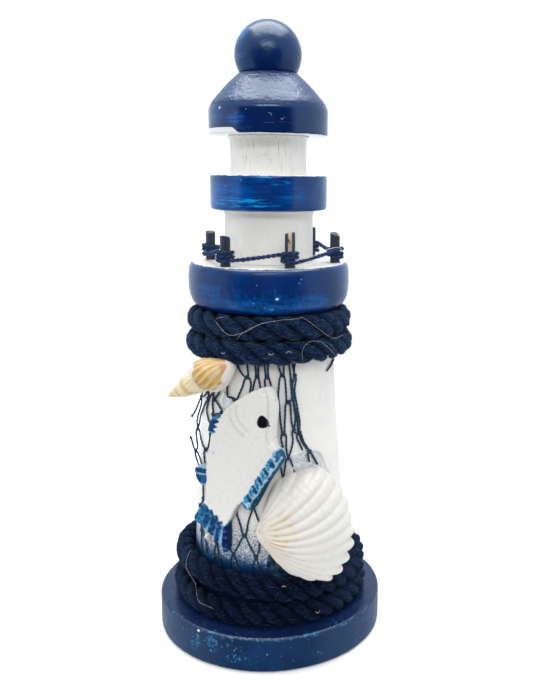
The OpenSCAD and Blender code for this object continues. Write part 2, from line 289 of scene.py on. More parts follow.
# ------------------------------------------------------------------ material helper
class Mat:
    def __init__(self, name):
        self.m = bpy.data.materials.new(name)
        self.m.use_nodes = True
        self.t = self.m.node_tree
        self.t.nodes.clear()
        out = self.new("ShaderNodeOutputMaterial")
        self.b = self.new("ShaderNodeBsdfPrincipled")
        self.t.links.new(self.b.outputs[0], out.inputs[0])
        self.P = self.vec("MULTIPLY", self.new("ShaderNodeTexCoord").outputs["Object"], (1000, 1000, 1000))

    def new(self, kind, **kw):
        n = self.t.nodes.new(kind)
        for k, v in kw.items():
            setattr(n, k, v)
        return n

    def put(self, sock, v):
        if isinstance(v, bpy.types.NodeSocket):
            self.t.links.new(v, sock)
        elif isinstance(v, (tuple, list)) and len(v) == 3 and sock.type == "RGBA":
            sock.default_value = (*v, 1)
        else:
            sock.default_value = v

    def set(self, **kw):
        for k, v in kw.items():
            self.put(self.b.inputs[k.replace("_", " ")], v)
        return self

    def math(self, op, a, b=0.0, clamp=False):
        n = self.new("ShaderNodeMath", operation=op, use_clamp=clamp)
        self.put(n.inputs[0], a)
        self.put(n.inputs[1], b)
        return n.outputs[0]

    def vec(self, op, a, b):
        n = self.new("ShaderNodeVectorMath", operation=op)
        self.put(n.inputs[0], a)
        self.put(n.inputs[1], b)
        return n.outputs["Value"] if op in ("LENGTH", "DISTANCE", "DOT_PRODUCT") else n.outputs["Vector"]

    def xyz(self, v=None):
        n = self.new("ShaderNodeSeparateXYZ")
        self.put(n.inputs[0], v or self.P)
        return n.outputs

    def noise(self, scale, detail=3.0, rough=0.5, dist=0.0, vec=None):
        v = vec or self.P
        s = scale if isinstance(scale, (tuple, list)) else (scale, scale, scale)
        n = self.new("ShaderNodeTexNoise")
        self.put(n.inputs["Vector"], self.vec("MULTIPLY", v, s))
        n.inputs["Scale"].default_value = 1.0
        n.inputs["Detail"].default_value = detail
        n.inputs["Roughness"].default_value = rough
        n.inputs["Distortion"].default_value = dist
        return n.outputs["Fac"]

    def cells(self, scale, feature="F1", vec=None):
        n = self.new("ShaderNodeTexVoronoi", feature=feature)
        s = scale if isinstance(scale, (tuple, list)) else (scale, scale, scale)
        self.put(n.inputs["Vector"], self.vec("MULTIPLY", vec or self.P, s))
        n.inputs["Scale"].default_value = 1.0
        return n.outputs

    def step(self, x, lo, hi, a=0.0, b=1.0):
        n = self.new("ShaderNodeMapRange", interpolation_type="SMOOTHSTEP")
        for i, v in enumerate((x, lo, hi, a, b)):
            self.put(n.inputs[i], v)
        return n.outputs[0]

    def mix(self, f, a, b, blend="MIX"):
        n = self.new("ShaderNodeMix", data_type="RGBA", blend_type=blend)
        self.put(n.inputs[0], f)
        self.put(n.inputs[6], a)
        self.put(n.inputs[7], b)
        return n.outputs[2]

    def attr(self, name, col=False):
        n = self.new("ShaderNodeAttribute", attribute_name=name)
        return n.outputs["Color"] if col else n.outputs["Fac"]

    def bump(self, h, strength, dist, normal=None):
        n = self.new("ShaderNodeBump")
        n.inputs["Strength"].default_value = strength
        n.inputs["Distance"].default_value = dist * MM
        self.put(n.inputs["Height"], h)
        if normal:
            self.put(n.inputs["Normal"], normal)
        return n.outputs[0]

    def add(self, *xs):
        out = xs[0]
        for x in xs[1:]:
            out = self.math("ADD", out, x)
        return out

    def mul(self, *xs):
        out = xs[0]
        for x in xs[1:]:
            out = self.math("MULTIPLY", out, x)
        return out

    def spot(self, c, size):
        """1 at the point c (mm) fading to 0 at the given half sizes."""
        d = self.vec("SUBTRACT", self.P, c)
        d = self.vec("MULTIPLY", d, tuple(1 / s for s in size))
        return self.step(self.vec("LENGTH", d, (0, 0, 0)), 1.0, 0.35)

    def specks(self, scale, size, share):
        """Scattered small dots: share is the part of cells that hold one."""
        o = self.cells(scale)
        c = self.new("ShaderNodeSeparateColor")
        self.put(c.inputs[0], o["Color"])
        keep = self.math("GREATER_THAN", c.outputs[0], 1 - share)
        return self.mul(self.step(o["Distance"], size, size * 0.6), keep)

    def max(self, a, b):
        return self.math("MAXIMUM", a, b)

    def comb(self, x, y, z):
        n = self.new("ShaderNodeCombineXYZ")
        for s, v in zip(n.inputs, (x, y, z)):
            self.put(s, v)
        return n.outputs[0]

    def zones(self, zs):
        """Largest of several spots, each (centre, half sizes, amount)."""
        out = None
        for c, size, amt in zs:
            k = self.mul(self.spot(c, size), amt)
            out = k if out is None else self.max(out, k)
        return out


NAVY = (0.0008, 0.0150, 0.0880)
NAVY2 = (0.0006, 0.0230, 0.1400)
WASH = (0.0006, 0.0900, 0.3900)
BLUE = (0.0010, 0.2700, 0.6600)
PALE = (0.42, 0.52, 0.62)
WHITE = (0.755, 0.748, 0.725)


def white_layers(m, crack=0.5, tint=WHITE):
    """White brush paint over turned wood: faint blotches, upright grain, specks."""
    blot = m.noise(0.12, 3)
    col = m.mix(m.step(blot, 0.35, 0.7), tint, (tint[0] * 0.95, tint[1] * 0.955, tint[2] * 0.96))
    soft = m.noise((2.6, 2.6, 0.10), 3, 0.6)
    col = m.mix(m.mul(m.step(soft, 0.50, 0.66), m.mul(m.step(m.noise(0.22, 2), 0.35, 0.6), crack * 0.38)), col, (0.50, 0.50, 0.51))
    grain = m.noise((3.4, 3.4, 0.16), 3, 0.65, vec=m.vec("ADD", m.P, (5, 9, 40)))
    line = m.mul(m.step(grain, 0.615, 0.66), m.step(m.noise((0.6, 0.6, 0.30), 2, vec=m.vec("ADD", m.P, (17, 3, 8))), 0.40, 0.56))
    col = m.mix(m.mul(line, crack), col, (0.34, 0.33, 0.325))
    dirt = m.specks(0.8, 0.14, 0.12)
    col = m.mix(m.mul(dirt, 0.40), col, (0.33, 0.34, 0.36))
    h = m.add(m.mul(m.noise(1.6, 3), 0.25), m.mul(soft, 0.5), m.mul(line, -1.2))
    return col, h


def navy_layers(m, wash=(), dashes=(), general=0.25, specks=0.05, deep=NAVY, deep2=NAVY2):
    """Navy brush paint: thin blue washes, drawn bright dashes, pale specks and dust."""
    big = m.noise(0.10, 3)
    col = m.mix(m.step(big, 0.35, 0.75), deep, deep2)
    st = m.noise((0.10, 0.10, 1.3), 4, 0.6, 0.3)
    fine = m.noise((0.32, 0.32, 4.0), 3, 0.6)
    upright = m.noise((2.2, 2.2, 0.12), 2, 0.6)
    mask = m.mul(m.step(m.noise(0.16, 3, vec=m.vec("ADD", m.P, (31, 7, 3))), 0.48, 0.75), general)
    if wash:
        mask = m.max(mask, m.zones(wash))
    brush = m.add(m.mul(st, 0.55), m.mul(fine, 0.25), m.mul(upright, 0.20))
    s = m.mul(m.step(brush, 0.38, 0.60), mask)
    col = m.mix(s, col, WASH)
    if dashes:
        d = m.mul(m.step(m.add(m.mul(m.noise((0.16, 0.16, 1.9), 3, 0.55, 0.2), 0.8), m.mul(fine, 0.2)), 0.50, 0.58), m.zones(dashes))
        col = m.mix(d, col, BLUE)
    dot = m.specks(0.62, 0.13, specks)
    dot2 = m.mul(m.specks(1.9, 0.2, 0.05), m.step(m.noise(0.3, 2), 0.5, 0.7))
    col = m.mix(m.mul(dot, 0.8), col, PALE)
    col = m.mix(m.mul(dot2, 0.5), col, (0.06, 0.17, 0.36))
    peel = m.add(m.mul(m.noise(1.15, 2, 0.5), 1.0), m.mul(m.noise(4.0, 2), 0.18), m.mul(st, 0.35), m.mul(dot, 0.6))
    rough = m.step(m.noise(0.35, 3), 0.3, 0.75, 0.11, 0.20)
    m.b.inputs["Specular IOR Level"].default_value = 0.60
    m.b.inputs["Specular Tint"].default_value = (0.72, 0.96, 1.0, 1)
    return col, peel, rough


# ------------------------------------------------------------------ camera, light, floor
cam = bpy.data.cameras.new("camera")
cam.lens = 807.39 / 700 * 36
cam.sensor_width = 36
cam.shift_x = -55.5 / 700
cam.clip_start = 0.01
cam.clip_end = 30
cam_ob = bpy.data.objects.new("camera", cam)
scene.collection.objects.link(cam_ob)
cam_ob.matrix_world = (Matrix.Translation((0.018757, -0.24507, 0.1416))
                       @ Matrix.Rotation(math.radians(90 - 12.214), 4, "X")
                       @ Matrix.Rotation(math.radians(0.646), 4, "Z"))
scene.camera = cam_ob
scene.view_settings.view_transform = "Standard"

world = bpy.data.worlds.new("studio")
scene.world = world
world.use_nodes = True
wt = world.node_tree
wt.nodes.clear()


def wn(kind, **kw):
    n = wt.nodes.new(kind)
    for k, v in kw.items():
        setattr(n, k, v)
    return n


def wmath(op, a, b=0.0):
    n = wn("ShaderNodeMath", operation=op)
    for s, v in zip(n.inputs, (a, b)):
        if isinstance(v, bpy.types.NodeSocket):
            wt.links.new(v, s)
        else:
            s.default_value = v
    return n.outputs[0]


def wstep(x, lo, hi, a=0.0, b=1.0):
    n = wn("ShaderNodeMapRange", interpolation_type="SMOOTHSTEP")
    wt.links.new(x, n.inputs[0])
    for i, v in enumerate((lo, hi, a, b)):
        n.inputs[i + 1].default_value = v
    return n.outputs[0]


sep = wn("ShaderNodeSeparateXYZ")
wt.links.new(wn("ShaderNodeTexCoord").outputs["Generated"], sep.inputs[0])
hx = wmath("SQRT", wmath("ADD", wmath("ADD", wmath("MULTIPLY", sep.outputs[0], sep.outputs[0]),
                                      wmath("MULTIPLY", sep.outputs[1], sep.outputs[1])), 1e-6))
front = wmath("DIVIDE", wmath("MULTIPLY", sep.outputs[1], -1.0), hx)
dark = wmath("MULTIPLY", wstep(front, 0.53, 0.68), wstep(sep.outputs[2], 0.42, 0.16))
soft = wmath("MULTIPLY", wmath("ADD", wmath("MULTIPLY", dark, -0.98), 1.03), wstep(sep.outputs[2], -0.45, -0.02, 0.62, 1.0))
lp = wn("ShaderNodeLightPath")
tilt = wmath("MULTIPLY", sep.outputs[0], wmath("MULTIPLY", wmath("SUBTRACT", 1.0, lp.outputs["Is Glossy Ray"]), -0.10))
soft = wmath("MULTIPLY", soft, wmath("ADD", tilt, 1.0))
val = wmath("ADD", wmath("MULTIPLY", lp.outputs["Is Camera Ray"], wmath("SUBTRACT", 1.15, soft)), soft)
bg = wn("ShaderNodeBackground")
hue = wn("ShaderNodeMix", data_type="RGBA")
wt.links.new(lp.outputs["Is Glossy Ray"], hue.inputs[0])
hue.inputs[6].default_value = (1, 1, 1, 1)
hue.inputs[7].default_value = (0.90, 1.05, 1.24, 1)
wt.links.new(hue.outputs[2], bg.inputs["Color"])
wt.links.new(val, bg.inputs["Strength"])
wt.links.new(bg.outputs[0], wn("ShaderNodeOutputWorld").inputs[0])


def area(name, loc, aim, sx, sy, radiance):
    li = bpy.data.lights.new(name, "AREA")
    li.shape = "RECTANGLE"
    li.size, li.size_y = sx, sy
    li.energy = radiance * math.pi * sx * sy
    ob = bpy.data.objects.new(name, li)
    scene.collection.objects.link(ob)
    ob.location = loc
    ob.rotation_euler = (Vector(aim) - Vector(loc)).to_track_quat("-Z", "Y").to_euler()
    return ob


area("top_softbox", (0, 0.15, 0.80), (0, 0.05, 0.15), 0.86, 0.48, 5.4).visible_glossy = False
sheet = area("top_sheet", (0, 0.060, 0.770), (0, 0.03, 0.15), 0.86, 0.66, 7.6)
sheet.visible_diffuse = False
sheet.data.color = (1.0, 0.90, 0.81)
area("front_softbox", (0.03, -0.72, 0.56), (0, 0, 0.14), 0.55, 0.11, 9.5)
area("front_fill", (0, -0.85, 0.16), (0, 0, 0.11), 0.60, 0.25, 2.3).visible_glossy = False

fm = Mat("floor_white")
fm.set(Base_Color=fm.mix(fm.noise(0.02, 2), (0.78, 0.78, 0.78), (0.80, 0.80, 0.80)), Roughness=0.9)
fm.b.inputs["Specular IOR Level"].default_value = 0.0
fm.b.inputs["Emission Color"].default_value = (1, 1, 1, 1)
fm.b.inputs["Emission Strength"].default_value = 0.15
me = bpy.data.meshes.new("floor")
me.from_pydata([(-0.26, -0.13, -0.0002), (0.26, -0.13, -0.0002), (0.26, 0.26, -0.0002), (-0.26, 0.26, -0.0002)], [], [(0, 1, 2, 3)])
me.materials.append(fm.m)
floor = bpy.data.objects.new("floor", me)
scene.collection.objects.link(floor)
floor.visible_glossy = False

# ------------------------------------------------------------------ turned wood: base
m = Mat("base_navy")
col, peel, rough = navy_layers(m, general=0.10, specks=0.05, deep=(0.0040, 0.0200, 0.0700), deep2=(0.0030, 0.0240, 0.0860))
x, y, z = m.xyz()
rr = m.math("SQRT", m.add(m.mul(x, x), m.mul(y, y)))
lid = m.step(z, 10.2, 10.62)
col = m.mix(m.mul(lid, 0.85), col, (0.0006, 0.0060, 0.0480))
fleck = m.zones([((-15.0, -32.2, 7.4), (3.6, 4, 5.4), 1.0), ((-20.2, -29.2, 6.2), (3.6, 4, 4.4), 0.75), ((-23.5, -26.6, 9.0), (2.6, 3, 2.6), 0.7), ((-8.2, -34.5, 3.9), (5.5, 4, 2.4), 0.85),
                 ((-9.0, -34.3, 7.4), (5.0, 3, 1.6), 0.65), ((-2.0, -35.4, 3.2), (3.0, 2, 1.6), 0.55), ((17.0, -31.2, 4.2), (1.7, 2, 1.1), 1.0), ((9.6, -34.2, 3.4), (1.2, 2, 1.0), 0.9),
                 ((14.5, -32.4, 10.3), (6.0, 3, 0.8), 0.95), ((24.0, -26.2, 10.4), (6.0, 4, 0.7), 0.6), ((-14.0, -32.6, 10.5), (3.0, 3, 0.9), 0.9)])
fleck = m.mul(m.step(m.add(m.noise(1.15, 3, 0.6), m.mul(fleck, 0.14)), 0.655, 0.70), m.step(fleck, 0.03, 0.2))
col = m.mix(m.mul(fleck, 0.70), col, (0.020, 0.170, 0.370))
strewn = m.mul(m.step(m.noise(1.8, 3, 0.6, vec=m.vec("ADD", m.P, (41, 13, 5))), 0.635, 0.68), m.step(m.noise(0.2, 2), 0.34, 0.50))
col = m.mix(m.mul(strewn, 0.62), col, (0.016, 0.130, 0.300))
edge = m.mul(m.step(rr, 34.3, 34.9), m.step(z, 9.5, 10.2))
wear = m.mul(edge, m.step(m.add(m.noise(1.3, 4, 0.65), m.mul(m.step(m.math("ABSOLUTE", x), 26.0, 4.0), 0.05)), 0.57, 0.68))
col = m.mix(m.mul(wear, 0.45), col, (0.16, 0.27, 0.40))
grit = m.max(m.mul(m.specks(1.05, 0.17, 0.10), m.step(rr, 29.5, 33.5)), m.mul(m.specks(1.7, 0.20, 0.22), m.mul(lid, m.step(rr, 34.9, 30.5))))
col = m.mix(m.mul(grit, 0.75), col, (0.28, 0.36, 0.44))
white = m.mul(m.spot((-19.1, -29.9, 9.9), (0.7, 0.7, 0.5)), m.step(m.noise(1.8, 2), 0.30, 0.45))
col = m.mix(white, col, (0.62, 0.66, 0.66))
dusty = m.mul(lid, m.step(m.noise(1.3, 4, 0.7), 0.48, 0.8))
col = m.mix(m.mul(dusty, 0.30), col, (0.10, 0.15, 0.25))
m.set(Base_Color=col, Roughness=m.add(rough, m.mul(dusty, 0.20), 0.16), Normal=m.bump(peel, 0.30, 0.10))
m.b.inputs["Specular IOR Level"].default_value = 0.36
lathe("base_turned", rounded([(4.3, 0, 0.15), (35.5, 0, 0.8), (35.5, 10.7, 1.1), (2.3, 10.7, 0.2), (2.3, 3.4), (4.3, 1.4)], True),
      m.m, True, 288, lambda P: turned(P, 0.06, 0.03, 1), node="base_disc", slot="navy_paint")

# tower
m = Mat("tower_white")
col, h = white_layers(m, 0.25)
x, y, z = m.xyz()
fine = m.noise(2.2, 3, 0.7)
zc = m.add(z, m.mul(m.noise(0.16, 3, 0.6), -5.0), 2.5)
mist = m.add(m.mul(m.step(zc, 45.0, 32.0), 0.46), m.mul(m.step(zc, 31.8, 25.4), 0.54))
grains = m.mul(m.add(fine, -0.5), m.step(zc, 46.0, 36.0, 0.0, 2.40))
spray = m.step(m.add(mist, m.mul(grains, m.step(zc, 25.0, 30.0, 0.35, 1.0))), 0.05, 0.86)
col = m.mix(spray, col, m.mix(m.step(zc, 26.0, 30.0), (0.0010, 0.0240, 0.0950), (0.0050, 0.0950, 0.2250)))
grit = m.mul(m.max(m.specks(2.3, 0.30, 0.42), m.specks(1.5, 0.26, 0.25)), m.mul(m.step(zc, 43.0, 33.0), m.step(zc, 25.0, 29.0)))
col = m.mix(m.mul(grit, 0.50), col, (0.0050, 0.0500, 0.1400))
col = m.mix(m.step(m.add(z, m.mul(fine, -3.0)), 25.8, 22.2), col, (0.0005, 0.0080, 0.0340))
spatter = m.mul(m.specks(1.1, 0.22, 0.32), m.step(z, 58.0, 32.0))
col = m.mix(m.mul(spatter, 0.75), col, (0.010, 0.055, 0.140))
# painted shade: the tower above z 94, behind and between the upper rope's turns, is coloured dark navy where shade
# falls
col = m.mix(m.step(z, 93.6, 94.6), col, (0.0020, 0.0060, 0.0200))
m.set(Base_Color=col, Roughness=m.step(m.noise(0.4, 3), 0.3, 0.7, 0.42, 0.58), Normal=m.bump(h, 0.30, 0.12))
m.b.inputs["Specular IOR Level"].default_value = 0.20
lathe("tower_turned", rounded([(0, 36.7), (2.1, 36.7), (2.1, 10.7), (25.1, 10.7, 0.3), (18.6, 102.7, 0.3), (6.1, 102.7, 0.2), (6.1, 87.5), (0, 87.5)], False, step=1.0),
      m.m, False, 240, lambda P: turned(P, 0.08, 0.03, 2), node="tower_trunk", slot="white_paint")

# deck
m = Mat("deck_navy_white")
col, peel, rough = navy_layers(m, [((3, -24, 105.6), (20, 9, 3.6), 0.85), ((-17, -17, 108), (8, 9, 4), 0.5), ((14, -20, 106.5), (9, 8, 3.2), 0.8)],
                               [((5, -24, 105.0), (13, 6, 1.4), 0.32), ((-12, -21, 106), (6, 6, 1.6), 0.25)], 0.16, 0.008)
m.b.inputs["Specular IOR Level"].default_value = 0.41
x, y, z = m.xyz()
mott = m.mul(m.step(m.noise((0.50, 0.50, 0.34), 4, 0.68), 0.47, 0.62), m.zones([((2, -24, 106.6), (17, 9, 4.6), 1.0), ((-11, -21.5, 108.6), (9, 8, 5.0), 0.6), ((15, -19, 107), (7, 8, 4.0), 0.6)]))
col = m.mix(m.mul(mott, 0.55), col, (0.0008, 0.0850, 0.3700))
chip = m.mul(m.spot((4.0, -24.1, 107.9), (0.66, 1.0, 0.48)), 1.0)
drip = m.mul(m.spot((3.6, -23.9, 109.0), (0.55, 2, 3.6)), m.step(m.noise((1.6, 1.6, 0.7), 3, 0.6), 0.42, 0.56))
col = m.mix(m.mul(drip, 0.32), col, (0.003, 0.16, 0.44))
bits = m.mul(m.step(m.noise(0.62, 3, 0.6), 0.60, 0.66), m.zones([((2, -24, 105.2), (18, 8, 1.8), 1.0)]))
col = m.mix(m.mul(bits, 0.7), col, (0.010, 0.24, 0.52))
for c in ((10.6, -21.8, 113.2), (10.0, -22.0, 112.2), (11.9, -20.8, 105.2), (13.0, -20.1, 105.6), (-2.6, -23.8, 106.6), (0.4, -23.6, 105.2)):
    col = m.mix(m.mul(m.spot(c, (0.30, 0.5, 0.24)), 0.45), col, (0.40, 0.52, 0.60))
col = m.mix(chip, col, (0.72, 0.73, 0.73))
wcol, wh = white_layers(m, 0.25)
rr = m.math("SQRT", m.add(m.mul(x, x), m.mul(y, y)))
edge_r = m.add(rr, m.mul(m.noise(0.55, 3), 0.9))
top = m.mul(m.step(z, 115.62, 115.80), m.step(edge_r, 23.55, 23.25))
col = m.mix(top, col, wcol)
m.set(Base_Color=col, Roughness=m.add(rough, m.mul(top, 0.2), 0.08), Normal=m.bump(m.add(peel, m.mul(wh, 0.2)), 0.30, 0.10))
side = spline([(21.4, 102.7), (22.5, 103.6), (23.4, 105.1), (24.0, 107.1), (24.2, 109.3), (24.2, 112), (24.0, 114.2), (23.6, 115.4), (22.8, 116.0)], 0.45)
deck_prof = np.concatenate([rounded([(6.1, 102.7), tuple(side[0])], False)[:-1], side, rounded([tuple(side[-1]), (6.1, 116.0), (6.1, 102.7)], False)[1:-1]])
lathe("deck_turned", deck_prof, m.m, True, 288, lambda P: turned(P, 0.06, 0.03, 3), node="gallery_deck", slot="navy_paint")

# lantern
m = Mat("lantern_white_navy")
wcol, wh = white_layers(m, 1.0, (0.84, 0.83, 0.80))
wclean, _ = white_layers(m, 0.30, (0.82, 0.81, 0.78))
ncol, peel, rough = navy_layers(m, [((-9.0, -14.4, 135.4), (11, 9, 5.4), 1.0), ((-14, -10, 135.5), (7, 9, 6), 0.9), ((8, -15.4, 136), (7, 6, 4.5), 0.45), ((-5, -16.6, 140.4), (8, 4, 2.0), 0.8)],
                                [((-6.0, -16.0, 134.3), (9.5, 5, 1.3), 1.0), ((-3.5, -16.9, 133.1), (9.5, 5, 0.9), 1.0), ((-8.5, -15.0, 131.9), (6, 5, 0.8), 0.9), ((-0.5, -17.2, 140.7), (3.5, 3, 0.8), 0.9),
                                 ((4.6, -16.7, 139.3), (4.0, 3, 0.9), 0.7), ((-13.0, -11.4, 134.0), (4, 5, 1.6), 0.8), ((7.4, -15.6, 135.6), (4, 3, 0.8), 0.35)], 0.3, 0.04, (0.0006, 0.0190, 0.1250), (0.0006, 0.0360, 0.2100))
m.b.inputs["Specular IOR Level"].default_value = 0.48
x, y, z = m.xyz()
rr = m.math("SQRT", m.add(m.mul(x, x), m.mul(y, y)))
wob = m.mul(m.noise(0.5, 3), 0.5)
ring = m.mul(m.step(m.add(rr, wob), 15.45, 15.65), m.step(m.add(z, wob), 141.62, 141.45))
mark = m.mul(m.spot((0, -11.3, 147.2), (9, 4, 0.35)), m.step(m.noise((0.5, 0.5, 2), 2), 0.56, 0.64))
wcol = m.mix(m.mul(mark, 0.5), m.mix(m.step(z, 128.0, 140.0), wclean, wcol), (0.35, 0.36, 0.38))
col = m.mix(ring, wcol, ncol)
m.set(Base_Color=col, Roughness=m.add(m.mul(ring, m.math("SUBTRACT", rough, 0.46)), 0.46),
      Normal=m.bump(m.add(m.mul(ring, peel), m.mul(m.math("SUBTRACT", 1.0, ring), wh)), 0.32, 0.11))
lathe("lantern_turned", rounded([(0, 128.3), (6.1, 128.3), (6.1, 116.0), (13.2, 116.0, 0.2), (13.2, 130.3, 0.7), (13.9, 131.3, 0.15), (15.6, 131.3, 0.3), (17.3, 131.6, 1.1), (17.3, 141.5, 0.9),
                             (11.7, 141.5, 0.2), (11.2, 142.4, 0.7), (11.2, 151.2, 0.8), (12.0, 152.6), (4.1, 152.6), (4.1, 145.6), (0, 145.6)], False, step=0.7),
      m.m, False, 240, lambda P: turned(P, 0.05, 0.03, 4), node="lantern_spindle", slot="white_paint")

# roof
m = Mat("roof_navy")
col, peel, rough = navy_layers(m, [((-8.2, -15.4, 156.8), (4.2, 4, 2.2), 0.9), ((-14, -10, 158), (7, 6, 3), 0.4)], (), 0.10, 0.05, (0.0006, 0.0110, 0.0800), (0.0006, 0.0150, 0.1050))
x, y, z = m.xyz()
az = m.math("ARCTAN2", x, m.mul(y, -1.0))
notch = m.mul(m.step(az, -2.0, -1.5), m.step(az, -0.40, -0.56))
bare = m.step(m.add(z, m.mul(notch, -1.55), m.mul(m.noise(0.30, 2), 0.35)), 153.05, 152.90)
col = m.mix(bare, col, (0.78, 0.79, 0.78))
teal = m.mul(m.spot((-5.0, -16.7, 154.0), (2.2, 2, 0.8)), m.step(m.noise(1.4, 3, 0.6), 0.46, 0.58))
col = m.mix(m.mul(teal, 0.5), col, (0.02, 0.14, 0.20))
wave = m.math("ABSOLUTE", m.add(z, -155.4, m.mul(m.noise(0.16, 2), -1.6), 0.8))
scratch = m.mul(m.step(wave, 0.10, 0.03), m.mul(m.zones([((5.5, -16.5, 155.4), (9, 4, 1.2), 0.8)]), m.step(m.noise(0.7, 3), 0.42, 0.55)))
col = m.mix(m.mul(scratch, 0.45), col, (0.10, 0.22, 0.36))
for c, size, k in (((-12.6, -12.0, 159.6), (0.6, 0.6, 0.45), 1.0), ((1.6, -17.3, 158.0), (0.55, 0.6, 0.16), 0.30), ((2.1, -17.2, 157.6), (0.16, 0.5, 0.42), 0.28), ((5.0, -16.7, 156.5), (0.55, 0.6, 0.20), 0.40), ((5.6, -16.5, 156.9), (0.25, 0.5, 0.16), 0.30)):
    col = m.mix(m.mul(m.spot(c, size), k), col, (0.60, 0.68, 0.72))
wrinkle = m.mul(m.step(z, 160.6, 161.6), m.add(m.mul(m.noise((0.50, 0.50, 0.75), 3, 0.50), 3.2), m.mul(m.noise(1.5, 2, 0.5, 0.8), 0.45)))
m.set(Base_Color=col, Roughness=m.add(rough, m.mul(m.step(z, 160.2, 161.2), 0.21)), Normal=m.bump(m.add(m.mul(peel, 0.35), m.mul(bare, -0.5), wrinkle), 0.60, 0.16))
slope = spline([(16.95, 160.95), (16.2, 162.2), (15, 163.6), (12, 166.9), (9.5, 169.2), (8.4, 170.2)], 0.6)
roof_prof = np.concatenate([rounded([(0, 159.6), (4.1, 159.6), (4.1, 152.6), (17.4, 152.6, 0.8), (17.4, 159.6), (17.25, 160.3)], False, step=0.7), slope,
                            rounded([(8.4, 170.2), (2.1, 170.2), (2.1, 165.0), (0, 165.0)], False)[1:]])
lathe("roof_turned", roof_prof, m.m, False, 240, lambda P: turned(P, 0.05, 0.02, 5), node="roof_cap", slot="navy_paint")

# ball
m = Mat("ball_navy")
bx, by, bz = -0.76 * BALL_R, -0.42 * BALL_R, Z_BALL + 0.50 * BALL_R
col, peel, rough = navy_layers(m, [((-6, -7, 171.5), (5, 5, 2), 0.4), ((bx, by, bz), (3.4, 4.5, 2.6), 0.9), ((-7, -5, Z_BALL), (3, 5, 4), 0.45)],
                               [((bx + 0.6, by, bz), (3.0, 4.0, 1.3), 1.0), ((bx + 1.4, by, bz + 1.6), (2.4, 3.5, 0.7), 0.8)], 0.15, 0.05, (0.0008, 0.0150, 0.0850), (0.0008, 0.0190, 0.1100))
flake = m.mul(m.step(m.noise(1.4, 3, 0.6), 0.60, 0.68), m.zones([((-0.4, -2.4, Z_BALL + 7.6), (1.3, 2.4, 1.0), 0.8), ((5.6, -5.0, Z_BALL + 3.4), (0.7, 2.0, 2.2), 0.5)]))
col = m.mix(flake, col, (0.30, 0.45, 0.60))
dimple = m.add(m.mul(peel, 0.3), m.mul(m.noise(0.50, 3, 0.50), 2.4))
m.set(Base_Color=col, Roughness=m.add(rough, 0.13), Normal=m.bump(dimple, 0.34, 0.13))
m.b.inputs["Specular IOR Level"].default_value = 0.46
b0 = math.asin((Z_SEAT - Z_BALL) / BALL_R)
arc = [(BALL_R * math.cos(t), Z_BALL + BALL_R * math.sin(t)) for t in np.linspace(b0, math.pi / 2, 60)]
arc[-1] = (0.0, Z_BALL + BALL_R)
ball_prof = np.concatenate([rounded([(0, 175.3), (2.1, 175.3), (2.1, Z_SEAT), (arc[0][0], Z_SEAT)], False)[:-1], arc])
lathe("ball_turned", ball_prof, m.m, False, 160, lambda P: turned(P, 0.04, 0.0, 6), node="ball_finial", slot="navy_paint")

# ------------------------------------------------------------------ hidden joinery keeps its CAD solid
m = Mat("dowel_birch")
g = m.noise((1.5, 1.5, 0.05), 3, 0.6)
ringy = m.noise((0.5, 0.5, 0.02), 2)
col = m.mix(m.step(g, 0.35, 0.7), (0.55, 0.37, 0.20), (0.70, 0.52, 0.31))
col = m.mix(m.mul(m.step(ringy, 0.5, 0.6), 0.4), col, (0.44, 0.28, 0.14))
m.set(Base_Color=col, Roughness=m.step(g, 0.3, 0.7, 0.6, 0.75), Normal=m.bump(g, 0.3, 0.1))
for n in ("gallery_dowel", "roof_dowel", "finial_dowel"):
    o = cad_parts[n]
    o.data.materials.clear()
    o.data.materials.append(m.m)
m = Mat("screw_zinc")
sc = m.noise((4, 4, 4), 3)
col = m.mix(m.step(m.noise(0.7, 3), 0.4, 0.7), (0.60, 0.58, 0.50), (0.50, 0.46, 0.34))
m.set(Base_Color=col, Metallic=1.0, Roughness=m.step(sc, 0.3, 0.7, 0.28, 0.45), Normal=m.bump(sc, 0.15, 0.05))
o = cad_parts["base_screw"]
o.data.materials.clear()
o.data.materials.append(m.m)

